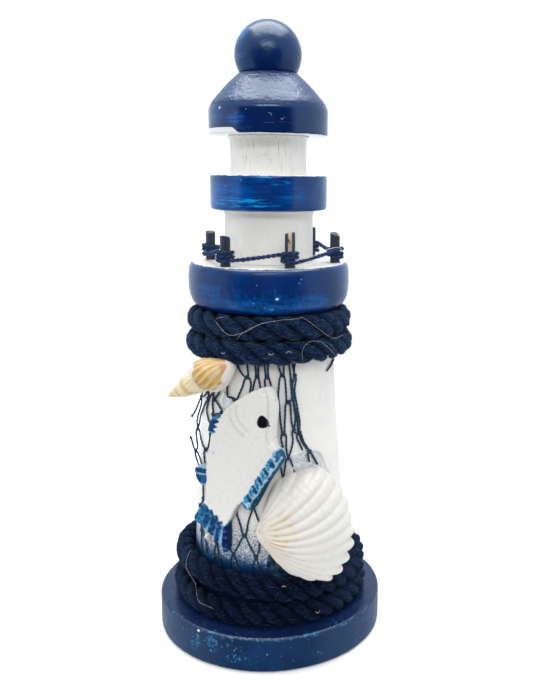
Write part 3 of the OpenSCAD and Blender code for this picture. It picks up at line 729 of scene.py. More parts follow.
# ------------------------------------------------------------------ railing posts
m = Mat("post_paint")
g = m.noise((2.2, 2.2, 0.12), 3, 0.6)
col = m.mix(m.step(g, 0.35, 0.7), (0.010, 0.016, 0.034), (0.020, 0.030, 0.060))
x, y, z = m.xyz()
bare = m.attr("bare")
ragged = m.mul(bare, m.step(m.noise((1.6, 1.6, 0.35), 3, 0.6), 0.38, 0.5))
wood = m.mix(m.step(g, 0.4, 0.65), (0.45, 0.34, 0.24), (0.62, 0.52, 0.40))
col = m.mix(ragged, col, wood)
pale = m.mul(m.step(m.noise(1.4, 3, 0.7), 0.62, 0.70), 0.25)
col = m.mix(pale, col, (0.20, 0.25, 0.32))
m.set(Base_Color=col, Roughness=m.step(g, 0.3, 0.7, 0.45, 0.65), Normal=m.bump(g, 0.4, 0.15))
cuts = [0.5, 0.9, 0.4, 0.7, 0.6, 0.8]
for i, a in enumerate(POSTS):
    seg, rows = 36, 40
    zt, cut = POST_TOP[i], cuts[i]
    c = polar(POST_R[i], a, 0)
    t = np.arange(seg) * 2 * math.pi / seg
    zz = np.concatenate([[110.2], np.linspace(110.5, zt - 0.35, rows - 5), zt - np.array([0.16, 0.05, 0.01, 0.0])])
    sc = np.concatenate([[0.94], np.ones(rows - 5), [0.985, 0.94, 0.8, 0.45]])
    flat = 1 + 0.05 * np.cos(3 * t + i) + 0.03 * np.cos(5 * t + 2 * i)
    rad = 1.43 * sc[:, None] * flat[None]
    P = np.stack([c[0] + rad * np.cos(t), c[1] + rad * np.sin(t), np.broadcast_to(zz[:, None], rad.shape)], -1)
    P[..., 0] += 0.06 * fbm(P * np.array([0.8, 0.8, 0.3]), 2, 40 + i)
    P[..., 1] += 0.06 * fbm(P * np.array([0.8, 0.8, 0.3]), 2, 50 + i)
    hi = smooth(P[..., 2], 118, zt)
    slant = (P[..., 0] - c[0]) * 0.18 * math.cos(i * 2.1) + (P[..., 1] - c[1]) * 0.18 * math.sin(i * 2.1)
    P[..., 2] += hi * np.minimum(slant - 0.22, 0.0) * cut * 2
    faces = grid_faces(len(zz), seg)
    faces.append(tuple(range(seg - 1, -1, -1)))
    faces.append(tuple((len(zz) - 1) * seg + k for k in range(seg)))
    out = np.degrees(np.arctan2(P[..., 0] - c[0], -(P[..., 1] - c[1])))
    stripe = smooth(np.abs(out - (8 if i == 0 else 70 * i)), 26, 16) * smooth(P[..., 2], 119.5, 120.3) if i in (0, 1) else np.zeros(rad.shape)
    build("post_%d" % (i + 1), P.reshape(-1, 3), faces, m.m, node="railing_post_%d" % (i + 1), slot="post_paint", attrs={"bare": stripe.ravel()})


# ------------------------------------------------------------------ cords
def fibre_mat(name, dark_c, light_c, fuzz_c, scale, valley_shade=0.9, rough=0.95, spec=0.05, sheen=0.03, side_light_share=0.0):
    """Cord of fine fibres: heathered streaks along the yarns, painted shade in the valleys, pale fuzz, and painted
    light on the left and right sides when asked.
    """
    m = Mat(name)
    g, f = m.attr("groove"), m.attr("fuzz")
    along = m.comb(m.mul(m.attr("su"), 0.75), m.mul(m.attr("sv"), 3.4), m.mul(m.attr("sv"), 0.1))
    n1 = m.noise(1.0, 4, 0.7, vec=along)
    n3 = m.noise(scale, 4, 0.65)
    n2 = m.noise(scale * 0.12, 2)
    col = m.mix(m.step(m.add(m.mul(n1, 0.6), m.mul(n3, 0.4)), 0.38, 0.66), dark_c, light_c)
    col = m.mix(m.mul(m.step(n1, 0.60, 0.74), 0.55), col, tuple(0.55 * a + 0.45 * b for a, b in zip(light_c, fuzz_c)))
    col = m.mix(m.mul(m.step(n2, 0.45, 0.7), 0.45), col, tuple(c * 0.7 for c in dark_c))
    # painted shade: the valleys between strands and yarns are darkened toward black
    col = m.mix(m.mul(g, valley_shade), col, tuple(c * 0.12 for c in dark_c))
    # painted light: the rope's left and right sides are lightened toward the fuzz colour to stand in for rim light
    if side_light_share:
        painted_side_light = m.mul(m.step(m.math("ABSOLUTE", m.xyz()[0]), 14.0, 28.0), m.step(n1, 0.36, 0.62), side_light_share)
        col = m.mix(painted_side_light, col, tuple(0.4 * a + 0.6 * b for a, b in zip(light_c, fuzz_c)))
    col = m.mix(f, col, fuzz_c)
    m.set(Base_Color=col, Roughness=m.step(n3, 0.2, 0.8, rough, rough - 0.10), Normal=m.bump(m.add(n1, m.mul(n3, 0.5), m.mul(g, -0.6)), 0.8, 0.25))
    m.b.inputs["Specular IOR Level"].default_value = spec
    m.b.inputs["Sheen Weight"].default_value = sheen
    m.b.inputs["Sheen Roughness"].default_value = 0.45
    m.b.inputs["Sheen Tint"].default_value = (0.45, 0.68, 1.0, 1)
    return m.m


ROPE_UP = fibre_mat("rope_cotton", (0.0015, 0.0072, 0.0320), (0.0095, 0.0290, 0.0900), (0.100, 0.165, 0.280), 2.6, 0.65, sheen=0.05, side_light_share=0.25)
ROPE_LOW = fibre_mat("rope_cotton_dark", (0.0003, 0.0018, 0.0100), (0.0022, 0.0085, 0.0340), (0.036, 0.066, 0.140), 2.6, 0.75, sheen=0.02, side_light_share=0.75)


def laid_rope(name, node, z_first, rise, lay, fuzz, seed, mat, lift=0.0):
    rng = np.random.default_rng(seed)
    a = np.radians(np.linspace(195, 860, 620))
    s = np.clip((np.degrees(a) - 495) / 55, 0, 1)
    e = s * s * (3 - 2 * s)
    zc = z_first + rise * e + lift * e * np.maximum(0, np.cos(a - math.radians(650)))
    zc = zc + 0.16 * fbm(np.stack([a * 1.3, a * 0 + seed, a * 0], -1), 2, seed)
    R = tower_r(zc) + 3.2
    arcl = np.concatenate([[0], np.cumsum(R[:-1] * np.diff(a))])
    N = np.stack([np.sin(a), -np.cos(a), a * 0], -1)
    Zu = np.array([0, 0, 1.0])
    C = N * R[:, None] + zc[:, None] * Zu
    T = np.stack([np.cos(a), np.sin(a), a * 0], -1)
    m_ = 60
    psi = np.arange(m_) * 2 * math.pi / m_ - math.pi
    soup = Soup()
    rs, rh, yarns = 1.66, 1.50, 11
    base = -2 * math.pi * arcl / lay + 0.5 * fbm(np.stack([arcl * 0.05, arcl * 0 + 3 * seed, arcl * 0], -1), 2, seed + 5)
    fat = 1 + 0.05 * fbm(np.stack([arcl * 0.12, arcl * 0, arcl * 0 + seed], -1), 2, seed + 8)
    for k in range(3):
        ph = base + 2 * math.pi * k / 3
        yarn = psi[None] - (2 * math.pi * arcl / lay * rh / rs * 1.05)[:, None] + 0.12 * k
        cx, cz = rh * np.cos(ph), rh * np.sin(ph)
        away = np.cos(psi[None] - ph[:, None])
        jit = fbm(np.stack([np.cos(yarn) * 2.2 + 9 * k, np.sin(yarn) * 2.2, np.broadcast_to((arcl * 0.16)[:, None], yarn.shape)], -1), 2, seed + 20 + k)
        ridge = np.abs(np.sin(0.5 * yarns * yarn + 0.35 * jit))
        r = rs * (1 + 0.07 * (ridge ** 0.7 - 0.6) + 0.06 * jit) * fat[:, None]
        r = r * (1 - 0.06 * smooth(away, 0.3, 1.0))
        dx = (cx[:, None] + r * np.cos(psi)) * 0.945
        dz = (cz[:, None] + r * np.sin(psi)) * 1.09
        dx = np.maximum(dx, -2.95 - 0.1 * (dx + 2.95) * 0)
        V = C[:, None] + dx[..., None] * N[:, None] + dz[..., None] * Zu
        endt = np.clip(np.minimum(arcl, arcl[-1] - arcl) / 1.2, 0, 1)
        shrink = 0.75 + 0.25 * np.sqrt(endt)
        mid = C[:, None] + (cx[:, None, None] * 0.945 * N[:, None] + cz[:, None, None] * 1.09 * Zu)
        V = mid + (V - mid) * shrink[:, None, None]
        f = grid_faces(len(a), m_, False, True)
        f = [(q[3], q[2], q[1], q[0]) for q in f]
        f.append(tuple(range(m_)))
        f.append(tuple((len(a) - 1) * m_ + j for j in range(m_ - 1, -1, -1)))
        # painted shade: the inward side of each strand counts as valley and is darkened in the rope material
        valley = smooth(-away, -0.55, 0.35)
        soup.add(V, f, groove=np.clip((1 - ridge ** 0.5) * 0.70 + valley, 0, 1).ravel(), fuzz=np.clip(0.08 * jit, 0, 0.2).ravel(),
                 su=np.broadcast_to((arcl + 37 * k)[:, None], yarn.shape).ravel(), sv=(yarn * rs).ravel())
        # loose fibres on the outward part
        cnt = fuzz // 3
        ii = rng.integers(4, len(a) - 4, cnt * 3)
        jj = rng.integers(0, m_, cnt * 3)
        good = (np.cos(psi[jj]) > -0.55) & (away[ii, jj] > 0.05)
        ii, jj = ii[good][:cnt], jj[good][:cnt]
        nr = unit(np.cos(psi[jj])[:, None] * N[ii] + np.sin(psi[jj])[:, None] * Zu)
        q = len(ii)
        tang = unit(np.cross(nr, T[ii]))
        w = rng.normal(0, 0.55, q)
        d = unit(T[ii] * np.cos(w)[:, None] + tang * np.sin(w)[:, None])
        big = rng.random(q) < 0.07
        ln = np.where(big, rng.uniform(1.8, 3.6, q), rng.uniform(0.6, 2.0, q))
        lf = np.where(big, rng.uniform(0.2, 0.6, q), rng.uniform(0.08, 0.26, q))
        rd = np.where(big, rng.uniform(0.030, 0.050, q), rng.uniform(0.026, 0.055, q))
        fibres(soup, V[ii, jj], d, nr, ln, lf, rd, rng.normal(0, 0.30, q), fuzz=0.0, su=0.0, sv=0.0)
        # painted shade: fibres lying in the valleys between strands are given a darker tone
        tone = np.repeat(np.clip(rng.normal(0.36, 0.30, q), 0.0, 1.0) * (0.35 + 0.65 * smooth(away[ii, jj], 0.1, 0.7)), 18)
        soup.a["fuzz"][-1] = tone
    return build_soup(name, soup, mat, node=node, slot="rope")


laid_rope("upper_rope_laid", "upper_rope", 99.05, -7.0, 18.5, 10500, 3, ROPE_UP)
laid_rope("lower_rope_laid", "lower_rope", 14.25, 7.1, 15.5, 12500, 8, ROPE_LOW, 3.0)

# railing twine: two plies along the wound route
TWINE_MAT = fibre_mat("twine_navy", (0.0075, 0.0220, 0.0740), (0.0400, 0.0800, 0.2200), (0.20, 0.29, 0.48), 3.2, 0.5, 0.85, 0.1, 0.06)


def twine():
    rng = np.random.default_rng(21)
    c = np.array([polar(POST_R[i], POSTS[i], Z_NECK) for i in range(6)])
    R, pitch = 2.15, 1.25

    def wrap(k):
        a, b, d = c[k - 1], c[k], c[(k + 1) % 6]
        t0 = math.atan2(b[1] - a[1], b[0] - a[0]) - math.pi / 2
        t1 = math.atan2(d[1] - b[1], d[0] - b[0]) - math.pi / 2
        turn = (t1 - t0) % (2 * math.pi) + 4 * math.pi
        tilt = 0.28 * math.cos(2.4 * k + 0.6), 0.28 * math.sin(2.4 * k + 0.6)
        out = []
        for i in range(121):
            e = i / 120
            t = t0 + turn * e
            fade = math.sin(math.pi * e)
            z = Z_NECK + 1.65 + pitch * turn / (2 * math.pi) * (1 - e) + fade * (tilt[0] * math.cos(t) + tilt[1] * math.sin(t))
            out.append([b[0] + R * math.cos(t), b[1] + R * math.sin(t), z])
        return out

    wraps = [wrap(k % 6) for k in range(6)]
    route = []
    for k in range(6):
        route += wraps[k]
        e0, e1 = np.array(wraps[k][-1]), np.array(wraps[(k + 1) % 6][0])
        for i in range(1, 28):
            u = i / 28
            p = e0 + (e1 - e0) * u
            p[2] += -0.25 * math.sin(math.pi * u)
            route.append(p.tolist())
    p = np.array(route)
    s = np.concatenate([[0], np.cumsum(np.linalg.norm(np.diff(p, axis=0), axis=1))])
    n = int(s[-1] / 0.16)
    q = np.stack([np.interp(np.linspace(0, s[-1], n, endpoint=False), s, p[:, i]) for i in range(3)], -1)
    for _ in range(3):
        q = (np.roll(q, 1, 0) + 2 * q + np.roll(q, -1, 0)) / 4
    t = unit(np.roll(q, -1, 0) - np.roll(q, 1, 0))
    side = unit(np.cross(t, np.array([0, 0, 1.0])))
    up = np.cross(side, t)
    total = s[-1]
    arcl = np.arange(n) * total / n
    turns = round(total / 2.9)
    ph = 2 * math.pi * turns * arcl / total
    soup = Soup()
    m_ = 24
    psi = np.arange(m_) * 2 * math.pi / m_ - math.pi
    for k in range(2):
        f_ = ph + math.pi * k
        mid = q + 0.20 * (np.cos(f_)[:, None] * side + np.sin(f_)[:, None] * up)
        yarn = psi[None] + (ph * 0.8)[:, None]
        jit = fbm(np.stack([np.cos(yarn) * 1.6, np.sin(yarn) * 1.6, np.broadcast_to((arcl * 0.5)[:, None], yarn.shape)], -1), 2, 60 + k)
        ridge = np.abs(np.sin(2.5 * yarn + 0.4 * jit))
        r = 0.37 * (1 + 0.10 * (ridge - 0.6) + 0.10 * jit)
        V = mid[:, None] + r[..., None] * (np.cos(psi)[None, :, None] * side[:, None] + np.sin(psi)[None, :, None] * up[:, None])
        f = [(w[3], w[2], w[1], w[0]) for w in grid_faces(n, m_, True, True)]
        away = np.cos(psi[None] - f_[:, None])
        # painted shade: the inner side of each ply counts as valley and is darkened in the twine material
        soup.add(V, f, groove=np.clip((1 - ridge) * 0.6 + smooth(-away, -0.4, 0.4), 0, 1).ravel(), fuzz=0.0,
                 su=np.broadcast_to((arcl + 11 * k)[:, None], yarn.shape).ravel(), sv=(yarn * 0.4).ravel())
        cnt = 2300
        ii, jj = rng.integers(0, n, cnt), rng.integers(0, m_, cnt)
        nr = np.cos(psi[jj])[:, None] * side[ii] + np.sin(psi[jj])[:, None] * up[ii]
        w = rng.normal(0, 0.55, cnt)
        d = unit(t[ii] * np.cos(w)[:, None] + np.cross(nr, t[ii]) * np.sin(w)[:, None])
        big = rng.random(cnt) < 0.06
        ln = np.where(big, rng.uniform(1.2, 2.6, cnt), rng.uniform(0.4, 1.3, cnt))
        lf = np.where(big, rng.uniform(0.2, 0.55, cnt), rng.uniform(0.04, 0.18, cnt))
        fibres(soup, V[ii, jj], d, nr, ln, lf, rng.uniform(0.02, 0.042, cnt), rng.normal(0, 0.2, cnt), fuzz=0.0, su=0.0, sv=0.0)
        soup.a["fuzz"][-1] = np.repeat(np.clip(rng.normal(0.34, 0.28, cnt), 0, 1), 18)
    return build_soup("railing_twine", soup, TWINE_MAT, node="railing_cord", slot="twine"), total


_, TWINE_LEN = twine()

# ------------------------------------------------------------------ net
NET = [
    [(-23.2, 88.0), (-20.9, 86.4), (-16.6, 84.7), (-14.2, 84.5)],
    [(-14.5, 88.3), (-14.0, 86.4), (-13.7, 84.8), (-14.2, 84.5)],
    [(-14.2, 84.5), (-16.8, 83.7), (-18.2, 82.0), (-21.0, 79.5), (-23.2, 77.5), (-25.0, 77.5)],
    [(-14.2, 84.5), (-12.2, 84.1), (-11.3, 82.4), (-12.0, 80.3), (-13.0, 77.6)],
    [(-25.0, 77.5), (-26.8, 78.0), (-31.6, 78.1), (-32.8, 79.7), (-32.4, 81.9)],
    [(-7.4, 88.7), (-7.1, 86.8), (-6.8, 85.2), (-5.7, 84.9)],
    [(-4.9, 88.7), (-4.8, 86.8), (-4.8, 85.3), (-5.7, 84.9)],
    [(-5.7, 84.9), (-7.3, 84.2), (-9.0, 81.2), (-10.0, 78.6), (-11.0, 75.0)],
    [(-5.7, 84.9), (-4.5, 84.2), (-3.1, 82.0), (-1.9, 79.7), (-2.4, 75.5)],
    [(0.0, 88.7), (0.6, 86.8), (1.1, 85.2), (2.3, 84.8)],
    [(3.1, 88.7), (2.8, 86.8), (3.1, 85.2), (2.3, 84.8)],
    [(2.3, 84.8), (0.3, 84.1), (0.8, 82.1), (0.6, 79.7), (-2.4, 75.5)],
    [(2.3, 84.8), (3.9, 84.1), (6.2, 81.6), (7.8, 79.2), (9.0, 76.0)],
    [(10.9, 88.7), (12.3, 86.8), (13.7, 85.5), (14.9, 85.2)],
    [(16.5, 88.6), (16.1, 87.0), (15.8, 85.5), (14.9, 85.2)],
    [(14.9, 85.2), (12.8, 84.4), (11.1, 79.6), (12.1, 75.3), (13.5, 69.0), (14.8, 68.1)],
    [(14.9, 85.2), (16.8, 84.4), (17.5, 79.5), (17.7, 77.8), (18.8, 77.3)],
    [(18.8, 77.3), (17.0, 76.7), (16.1, 72.1), (16.0, 68.7), (14.8, 68.1)],
    [(18.8, 77.3), (20.8, 76.5), (21.3, 71.9), (23.3, 68.8)],
    [(14.8, 68.1), (13.1, 67.4), (13.1, 66.1), (14.4, 63.9)],
    [(14.8, 68.1), (16.8, 67.3), (17.0, 63.3), (18.0, 60.8)],
    [(23.3, 68.8), (21.9, 68.0), (22.2, 65.3), (20.0, 62.0), (18.0, 60.8)],
    [(20.4, 88.5), (21.6, 84.7), (23.1, 80.6), (21.1, 77.5), (18.8, 77.3)],
    [(23.2, 88.4), (24.3, 86.3), (25.1, 84.9)],
    [(25.7, 88.4), (24.9, 86.7), (25.1, 84.9)],
    [(25.1, 84.9), (26.2, 83.8), (24.9, 80.3), (26.7, 75.8), (28.4, 70.9), (27.8, 68.0)],
    [(25.1, 84.9), (22.6, 81.5), (23.7, 76.4), (24.9, 72.5), (23.3, 68.8)],
    [(22.2, 83.9), (23.6, 79.3), (24.6, 75.9), (26.3, 72.5), (26.8, 68.5), (27.8, 68.0)],
    [(21.3, 84.0), (22.6, 78.4), (25.3, 74.9), (26.6, 71.5), (27.5, 68.7)],
    [(23.3, 68.8), (25.6, 67.6), (27.8, 68.0)],
    [(27.8, 68.0), (25.5, 66.5), (28.0, 64.3), (30.2, 62.4)],
    [(27.8, 68.0), (29.2, 67.4), (31.4, 64.8), (36.1, 62.0), (36.7, 61.6)],
    [(27.8, 68.0), (28.2, 66.7), (30.7, 64.4), (35.4, 61.8), (36.7, 61.6)],
    [(36.7, 61.6), (35.2, 60.8), (36.0, 58.4)],
    [(36.7, 61.6), (38.5, 60.8), (40.4, 59.4), (43.7, 57.0)],
    [(18.0, 60.8), (16.3, 59.9), (15.7, 58.0), (14.0, 54.0)],
    [(18.0, 60.8), (19.6, 60.1), (21.4, 58.2), (24.0, 54.0)],
    [(81.2, 86.4), (70.7, 85.3), (61.8, 84.2)],
    [(-77.3, 76.5), (-79.5, 75.2), (-81.9, 73.7, 0.6)],
    [(-59.6, 77.9), (-65.1, 76.1), (-81.9, 73.7, 0.6)],
    [(-81.9, 73.7, 0.6), (-81.8, 73.3, 0.9), (-81.3, 69.6, 2.2), (-81.2, 67.9, 3.1)],
    [(-81.9, 73.7, 0.6), (-82.1, 72.5, 0.45), (-82.2, 70.7, 0.65), (-82.4, 69.1, 1.05), (-82.6, 67.3, 1.45), (-82.7, 65.6, 1.55), (-81.6, 63.7, 1.2)],
    [(-58.1, 77.8), (-57.1, 76.9), (-57.4, 75.5)],
    [(-47.5, 78.9), (-51.6, 77.5), (-57.4, 75.5)],
    [(-57.4, 75.5), (-61.6, 74.4), (-69.0, 71.6), (-78.0, 69.0, 0.42), (-80.5, 67.2, 0.65), (-80.6, 65.5, 0.8), (-81.6, 63.7, 1.2)],
    [(-57.4, 75.5), (-57.8, 74.2), (-59.5, 71.9), (-55.9, 69.6), (-52.0, 68.5)],
    [(-50.1, 78.5), (-49.5, 77.5), (-47.7, 76.2)],
    [(-41.1, 79.1), (-42.7, 78.0), (-47.7, 76.2)],
    [(-47.7, 76.2), (-50.0, 75.3), (-49.2, 73.4), (-48.2, 71.4)],
    [(-47.7, 76.2), (-45.4, 76.1), (-41.0, 74.7), (-37.7, 73.5), (-37.5, 72.8)],
    [(-37.5, 72.8), (-41.0, 72.4), (-46.3, 71.3), (-50.6, 65.1)],
    [(-81.6, 63.7, 1.2), (-81.6, 62.8, 1.7), (-81.7, 59.8, 1.3), (-81.7, 57.4, 1.0), (-81.6, 56.3, 1.5)],
    [(-81.6, 63.7, 1.2), (-81.9, 62.8, 0.6), (-72.5, 61.3), (-61.6, 59.9), (-57.7, 59.7)],
    [(-81.2, 60.9, 3.2), (-81.3, 59.2, 2.7), (-81.3, 57.3, 2.1), (-81.6, 56.3, 1.5)],
    [(-81.6, 56.3, 1.5), (-81.5, 55.4, 1.6), (-81.8, 53.0, 0.9), (-74.4, 52.2), (-60.0, 50.5)],
    [(-81.6, 56.3, 1.5), (-81.7, 55.6, 0.8), (-71.0, 54.9), (-63.5, 53.9), (-57.7, 54.9)],
    [(-50.6, 65.1), (-51.9, 63.2), (-54.1, 61.0), (-57.7, 59.7)],
    [(-57.7, 59.7), (-61.1, 58.6), (-59.7, 56.8), (-57.7, 54.9)],
    [(-57.7, 54.9), (-58.0, 52.0), (-59.2, 48.8), (-59.1, 46.8), (-58.2, 44.6), (-57.9, 44.0)],
    [(-57.9, 44.0), (-60.5, 42.5), (-63.7, 41.0)],
    [(-57.9, 44.0), (-53.0, 41.0), (-48.0, 38.0), (-38.7, 32.8)],
    [(-63.7, 41.0), (-61.0, 37.0), (-58.0, 33.7)],
    [(-24.0, 48.0), (-21.3, 44.5), (-20.9, 43.4), (-20.4, 42.4), (-17.8, 39.7), (-16.2, 37.6), (-14.5, 37.0)],
    [(-8.2, 49.0), (-9.0, 45.3), (-10.2, 43.7), (-12.3, 40.6), (-13.0, 38.0), (-14.5, 37.0)],
    [(-8.2, 49.0), (-7.5, 45.5), (-6.4, 44.1), (-3.9, 41.7), (1.0, 39.5)],
    [(-14.5, 37.0), (-16.6, 35.7), (-20.0, 33.0), (-22.9, 30.5)],
    [(-14.5, 37.0), (-12.6, 35.9), (-9.9, 33.3), (-5.9, 30.6)],
    [(1.0, 39.5), (-3.0, 36.5), (-3.6, 34.0), (-4.1, 32.3), (-5.9, 30.6)],
    [(-22.9, 30.5), (-24.9, 28.9), (-25.8, 25.2)],
    [(-22.9, 30.5), (-21.1, 29.3), (-18.1, 25.6)],
    [(-30.0, 34.0), (-25.8, 31.7), (-22.9, 30.5)],
    [(-5.9, 30.6), (-7.3, 28.9), (-9.8, 24.6)],
    [(-5.9, 30.6), (-4.5, 28.7), (-1.9, 24.9)],
    [(-38.7, 32.8), (-40.1, 30.0), (-40.0, 26.6)],
    [(-38.7, 32.8), (-36.3, 30.0), (-33.7, 25.7)],
    [(-58.0, 33.7), (-58.0, 30.5), (-55.9, 27.0)],
    [(-58.0, 33.7), (-50.9, 31.1), (-49.2, 27.9)],
    # behind the fish and cockle, where the meshes run on
    [(-11.0, 75.0), (-14.0, 70.0), (-11.0, 64.0), (-15.0, 58.0), (-12.0, 52.0), (-8.2, 49.0)],
    [(-2.4, 75.5), (-1.0, 70.0), (-4.0, 64.0), (-2.0, 58.0), (-6.0, 53.0), (-8.2, 49.0)],
    [(9.0, 76.0), (6.0, 70.0), (9.5, 64.0), (14.0, 54.0)],
    [(-48.2, 71.4), (-42.0, 64.0), (-46.0, 57.0), (-41.0, 50.0), (-48.0, 38.0)],
    [(-37.5, 72.8), (-30.0, 66.0), (-33.0, 59.0), (-28.0, 52.0), (-24.0, 48.0)],
    [(-13.0, 77.6), (-20.0, 70.0), (-18.0, 62.0), (-22.0, 55.0), (-24.0, 48.0)],
    [(14.0, 54.0), (10.0, 47.0), (12.0, 41.0), (1.0, 39.5)],
    [(24.0, 54.0), (22.0, 46.0), (26.0, 38.0), (22.0, 30.0), (14.0, 25.5)],
]


def net():
    rng = np.random.default_rng(5)
    soup = Soup()
    ends, total = {}, 0.0
    for li in NET:
        pts = []
        for q in li:
            g = q[2] if len(q) > 2 else 0.42
            pts.append(polar(tower_r(q[1]) + g, q[0], q[1]))
        p = spline(pts, 0.28)
        w = np.stack([np.arange(len(p)) * 0.06, np.full(len(p), li[0][0] * 0.37), np.full(len(p), li[0][1] * 0.11)], -1)
        side = unit(np.cross(np.gradient(p, axis=0), unit(p * [1, 1, 0])))
        p = p + 0.10 * fbm(w, 2, 3)[:, None] * side
        rr = np.hypot(p[:, 0], p[:, 1])
        need = tower_r(p[:, 2]) + 0.34
        k = np.maximum(rr, need) / np.maximum(rr, 1e-6)
        p[:, 0] *= k
        p[:, 1] *= k
        total += np.linalg.norm(np.diff(p, axis=0), axis=1).sum()
        tube(soup, p, 0.285 + 0.02 * fbm(w * 2, 2, 8), 10, twist=2.6, lobes=2, lobe=0.13, tone=rng.random())
        for e, f in ((0, 1), (-1, -2)):
            key = (round(li[e][0], 1), round(li[e][1], 1))
            ends.setdefault(key, []).append((pts[e], pts[f]))
    for key, es in ends.items():
        c = es[0][0]
        n = unit(c * [1, 1, 0])
        if len(es) == 1 and key[0] > -79:
            continue
        t = unit(es[0][1] - c)
        t = unit(t - n * np.dot(t, n))
        b = np.cross(n, t)
        th = np.linspace(0, 2 * math.pi, 40, endpoint=False)
        sz = 0.50 if len(es) > 1 else 0.3
        X = (np.sin(th) + 2 * np.sin(2 * th)) / 3 * sz * 1.25
        Y = (np.cos(th) - 2 * np.cos(2 * th)) / 3 * sz
        Z = -np.sin(3 * th) * 0.34 * sz + 0.10
        K = c + X[:, None] * t + Y[:, None] * b + Z[:, None] * n
        m_ = 8
        tt = unit(np.roll(K, -1, 0) - np.roll(K, 1, 0))
        s1 = unit(np.cross(tt, n))
        s2 = np.cross(s1, tt)
        psi = np.arange(m_) * 2 * math.pi / m_
        V = K[:, None] + 0.25 * (np.cos(psi)[None, :, None] * s1[:, None] + np.sin(psi)[None, :, None] * s2[:, None])
        f = [(w_[3], w_[2], w_[1], w_[0]) for w_ in grid_faces(40, m_, True, True)]
        soup.add(V, f, groove=0.15, tone=rng.random())
    return soup, total


m = Mat("net_twine")
g, tone = m.attr("groove"), m.attr("tone")
n1 = m.noise(1.2, 3, 0.6)
col = m.mix(m.step(m.add(m.mul(tone, 0.6), m.mul(n1, 0.7)), 0.35, 0.9), (0.0040, 0.0110, 0.0480), (0.0040, 0.0440, 0.0880))
col = m.mix(m.mul(m.step(m.noise(0.8, 3, 0.6), 0.56, 0.72), 0.6), col, (0.03, 0.17, 0.27))
# painted shade: the grooves between the plies and around the knots are darkened
col = m.mix(m.mul(g, 0.40), col, (0.002, 0.008, 0.028))
col = m.mix(m.mul(m.step(m.xyz()[2], 31.0, 26.5), 0.85), col, (0.0010, 0.0040, 0.0150))
m.set(Base_Color=col, Roughness=m.step(n1, 0.3, 0.7, 0.5, 0.68), Normal=m.bump(m.add(m.noise((6, 6, 6), 2), m.mul(g, -0.8)), 0.5, 0.12))
NET_SOUP, NET_LEN = net()
build_soup("net_knotted", NET_SOUP, m.m, node="fishing_net", slot="net_twine")

# ------------------------------------------------------------------ fish
FISH = [(10, 27), (11.5, 27), (12.5, 25.2), (13.4, 22.5), (13.5, 20), (13.1, 16), (13.0, 13), (13.4, 11), (14, 9.7), (15.6, 8.6), (16.4, 7.0),
        (15, 4.4), (13, 1.5), (11.2, -1.6), (9.8, -4.4), (7.6, -8.8), (6.2, -9.9), (5, -9.2), (3.9, -7.9), (2.6, -8.6), (1.4, -10.5), (0.2, -13.3),
        (-0.6, -14.8), (-0.8, -15.8), (-0.6, -18), (-0.6, -22.8), (-1.1, -24.0), (-2.0, -24.0), (-2.4, -22.4), (-4.2, -20.4), (-6.4, -19),
        (-9.4, -17), (-11.9, -15.4), (-12.0, -14.3), (-10.2, -11.6), (-8.9, -10), (-8.2, -7.5), (-8.0, -4.2), (-9.6, -4.6), (-10.9, -3.5), (-11.7, -2.0), (-11.9, -0.8), (-12.1, 0.4), (-11.2, 1.1),
        (-8.2, 1.5), (-7.6, 3.5), (-7.4, 6), (-7.0, 9), (-6.6, 11.8), (-7.9, 12.1), (-7.4, 14.2), (-6.9, 15.6), (-5.9, 16.9), (-4.0, 16.6), (-3, 18), (-1.5, 20), (1, 22), (4, 24), (6.6, 25.6)]
FISH_T = 3.4


def seg_dist(p, line, closed=False):
    """Distance of points from a polyline."""
    a = np.asarray(line, float)
    b = np.roll(a, -1, 0) if closed else a[1:]
    a = a if closed else a[:-1]
    best = np.full(len(p), 1e9)
    for q, r in zip(a, b):
        d = r - q
        t = np.clip(((p - q) @ d) / max(d @ d, 1e-12), 0, 1)
        best = np.minimum(best, np.linalg.norm(p - q - t[:, None] * d, axis=1))
    return best


def inside(p, poly):
    x, y = p[:, 0], p[:, 1]
    r = np.zeros(len(p), bool)
    for (x1, y1), (x2, y2) in zip(poly, np.roll(poly, -1, 0)):
        c = (y1 > y) != (y2 > y)
        xx = (x2 - x1) * (y - y1) / (y2 - y1 if y2 != y1 else 1e-12) + x1
        r ^= c & (x < xx)
    return r


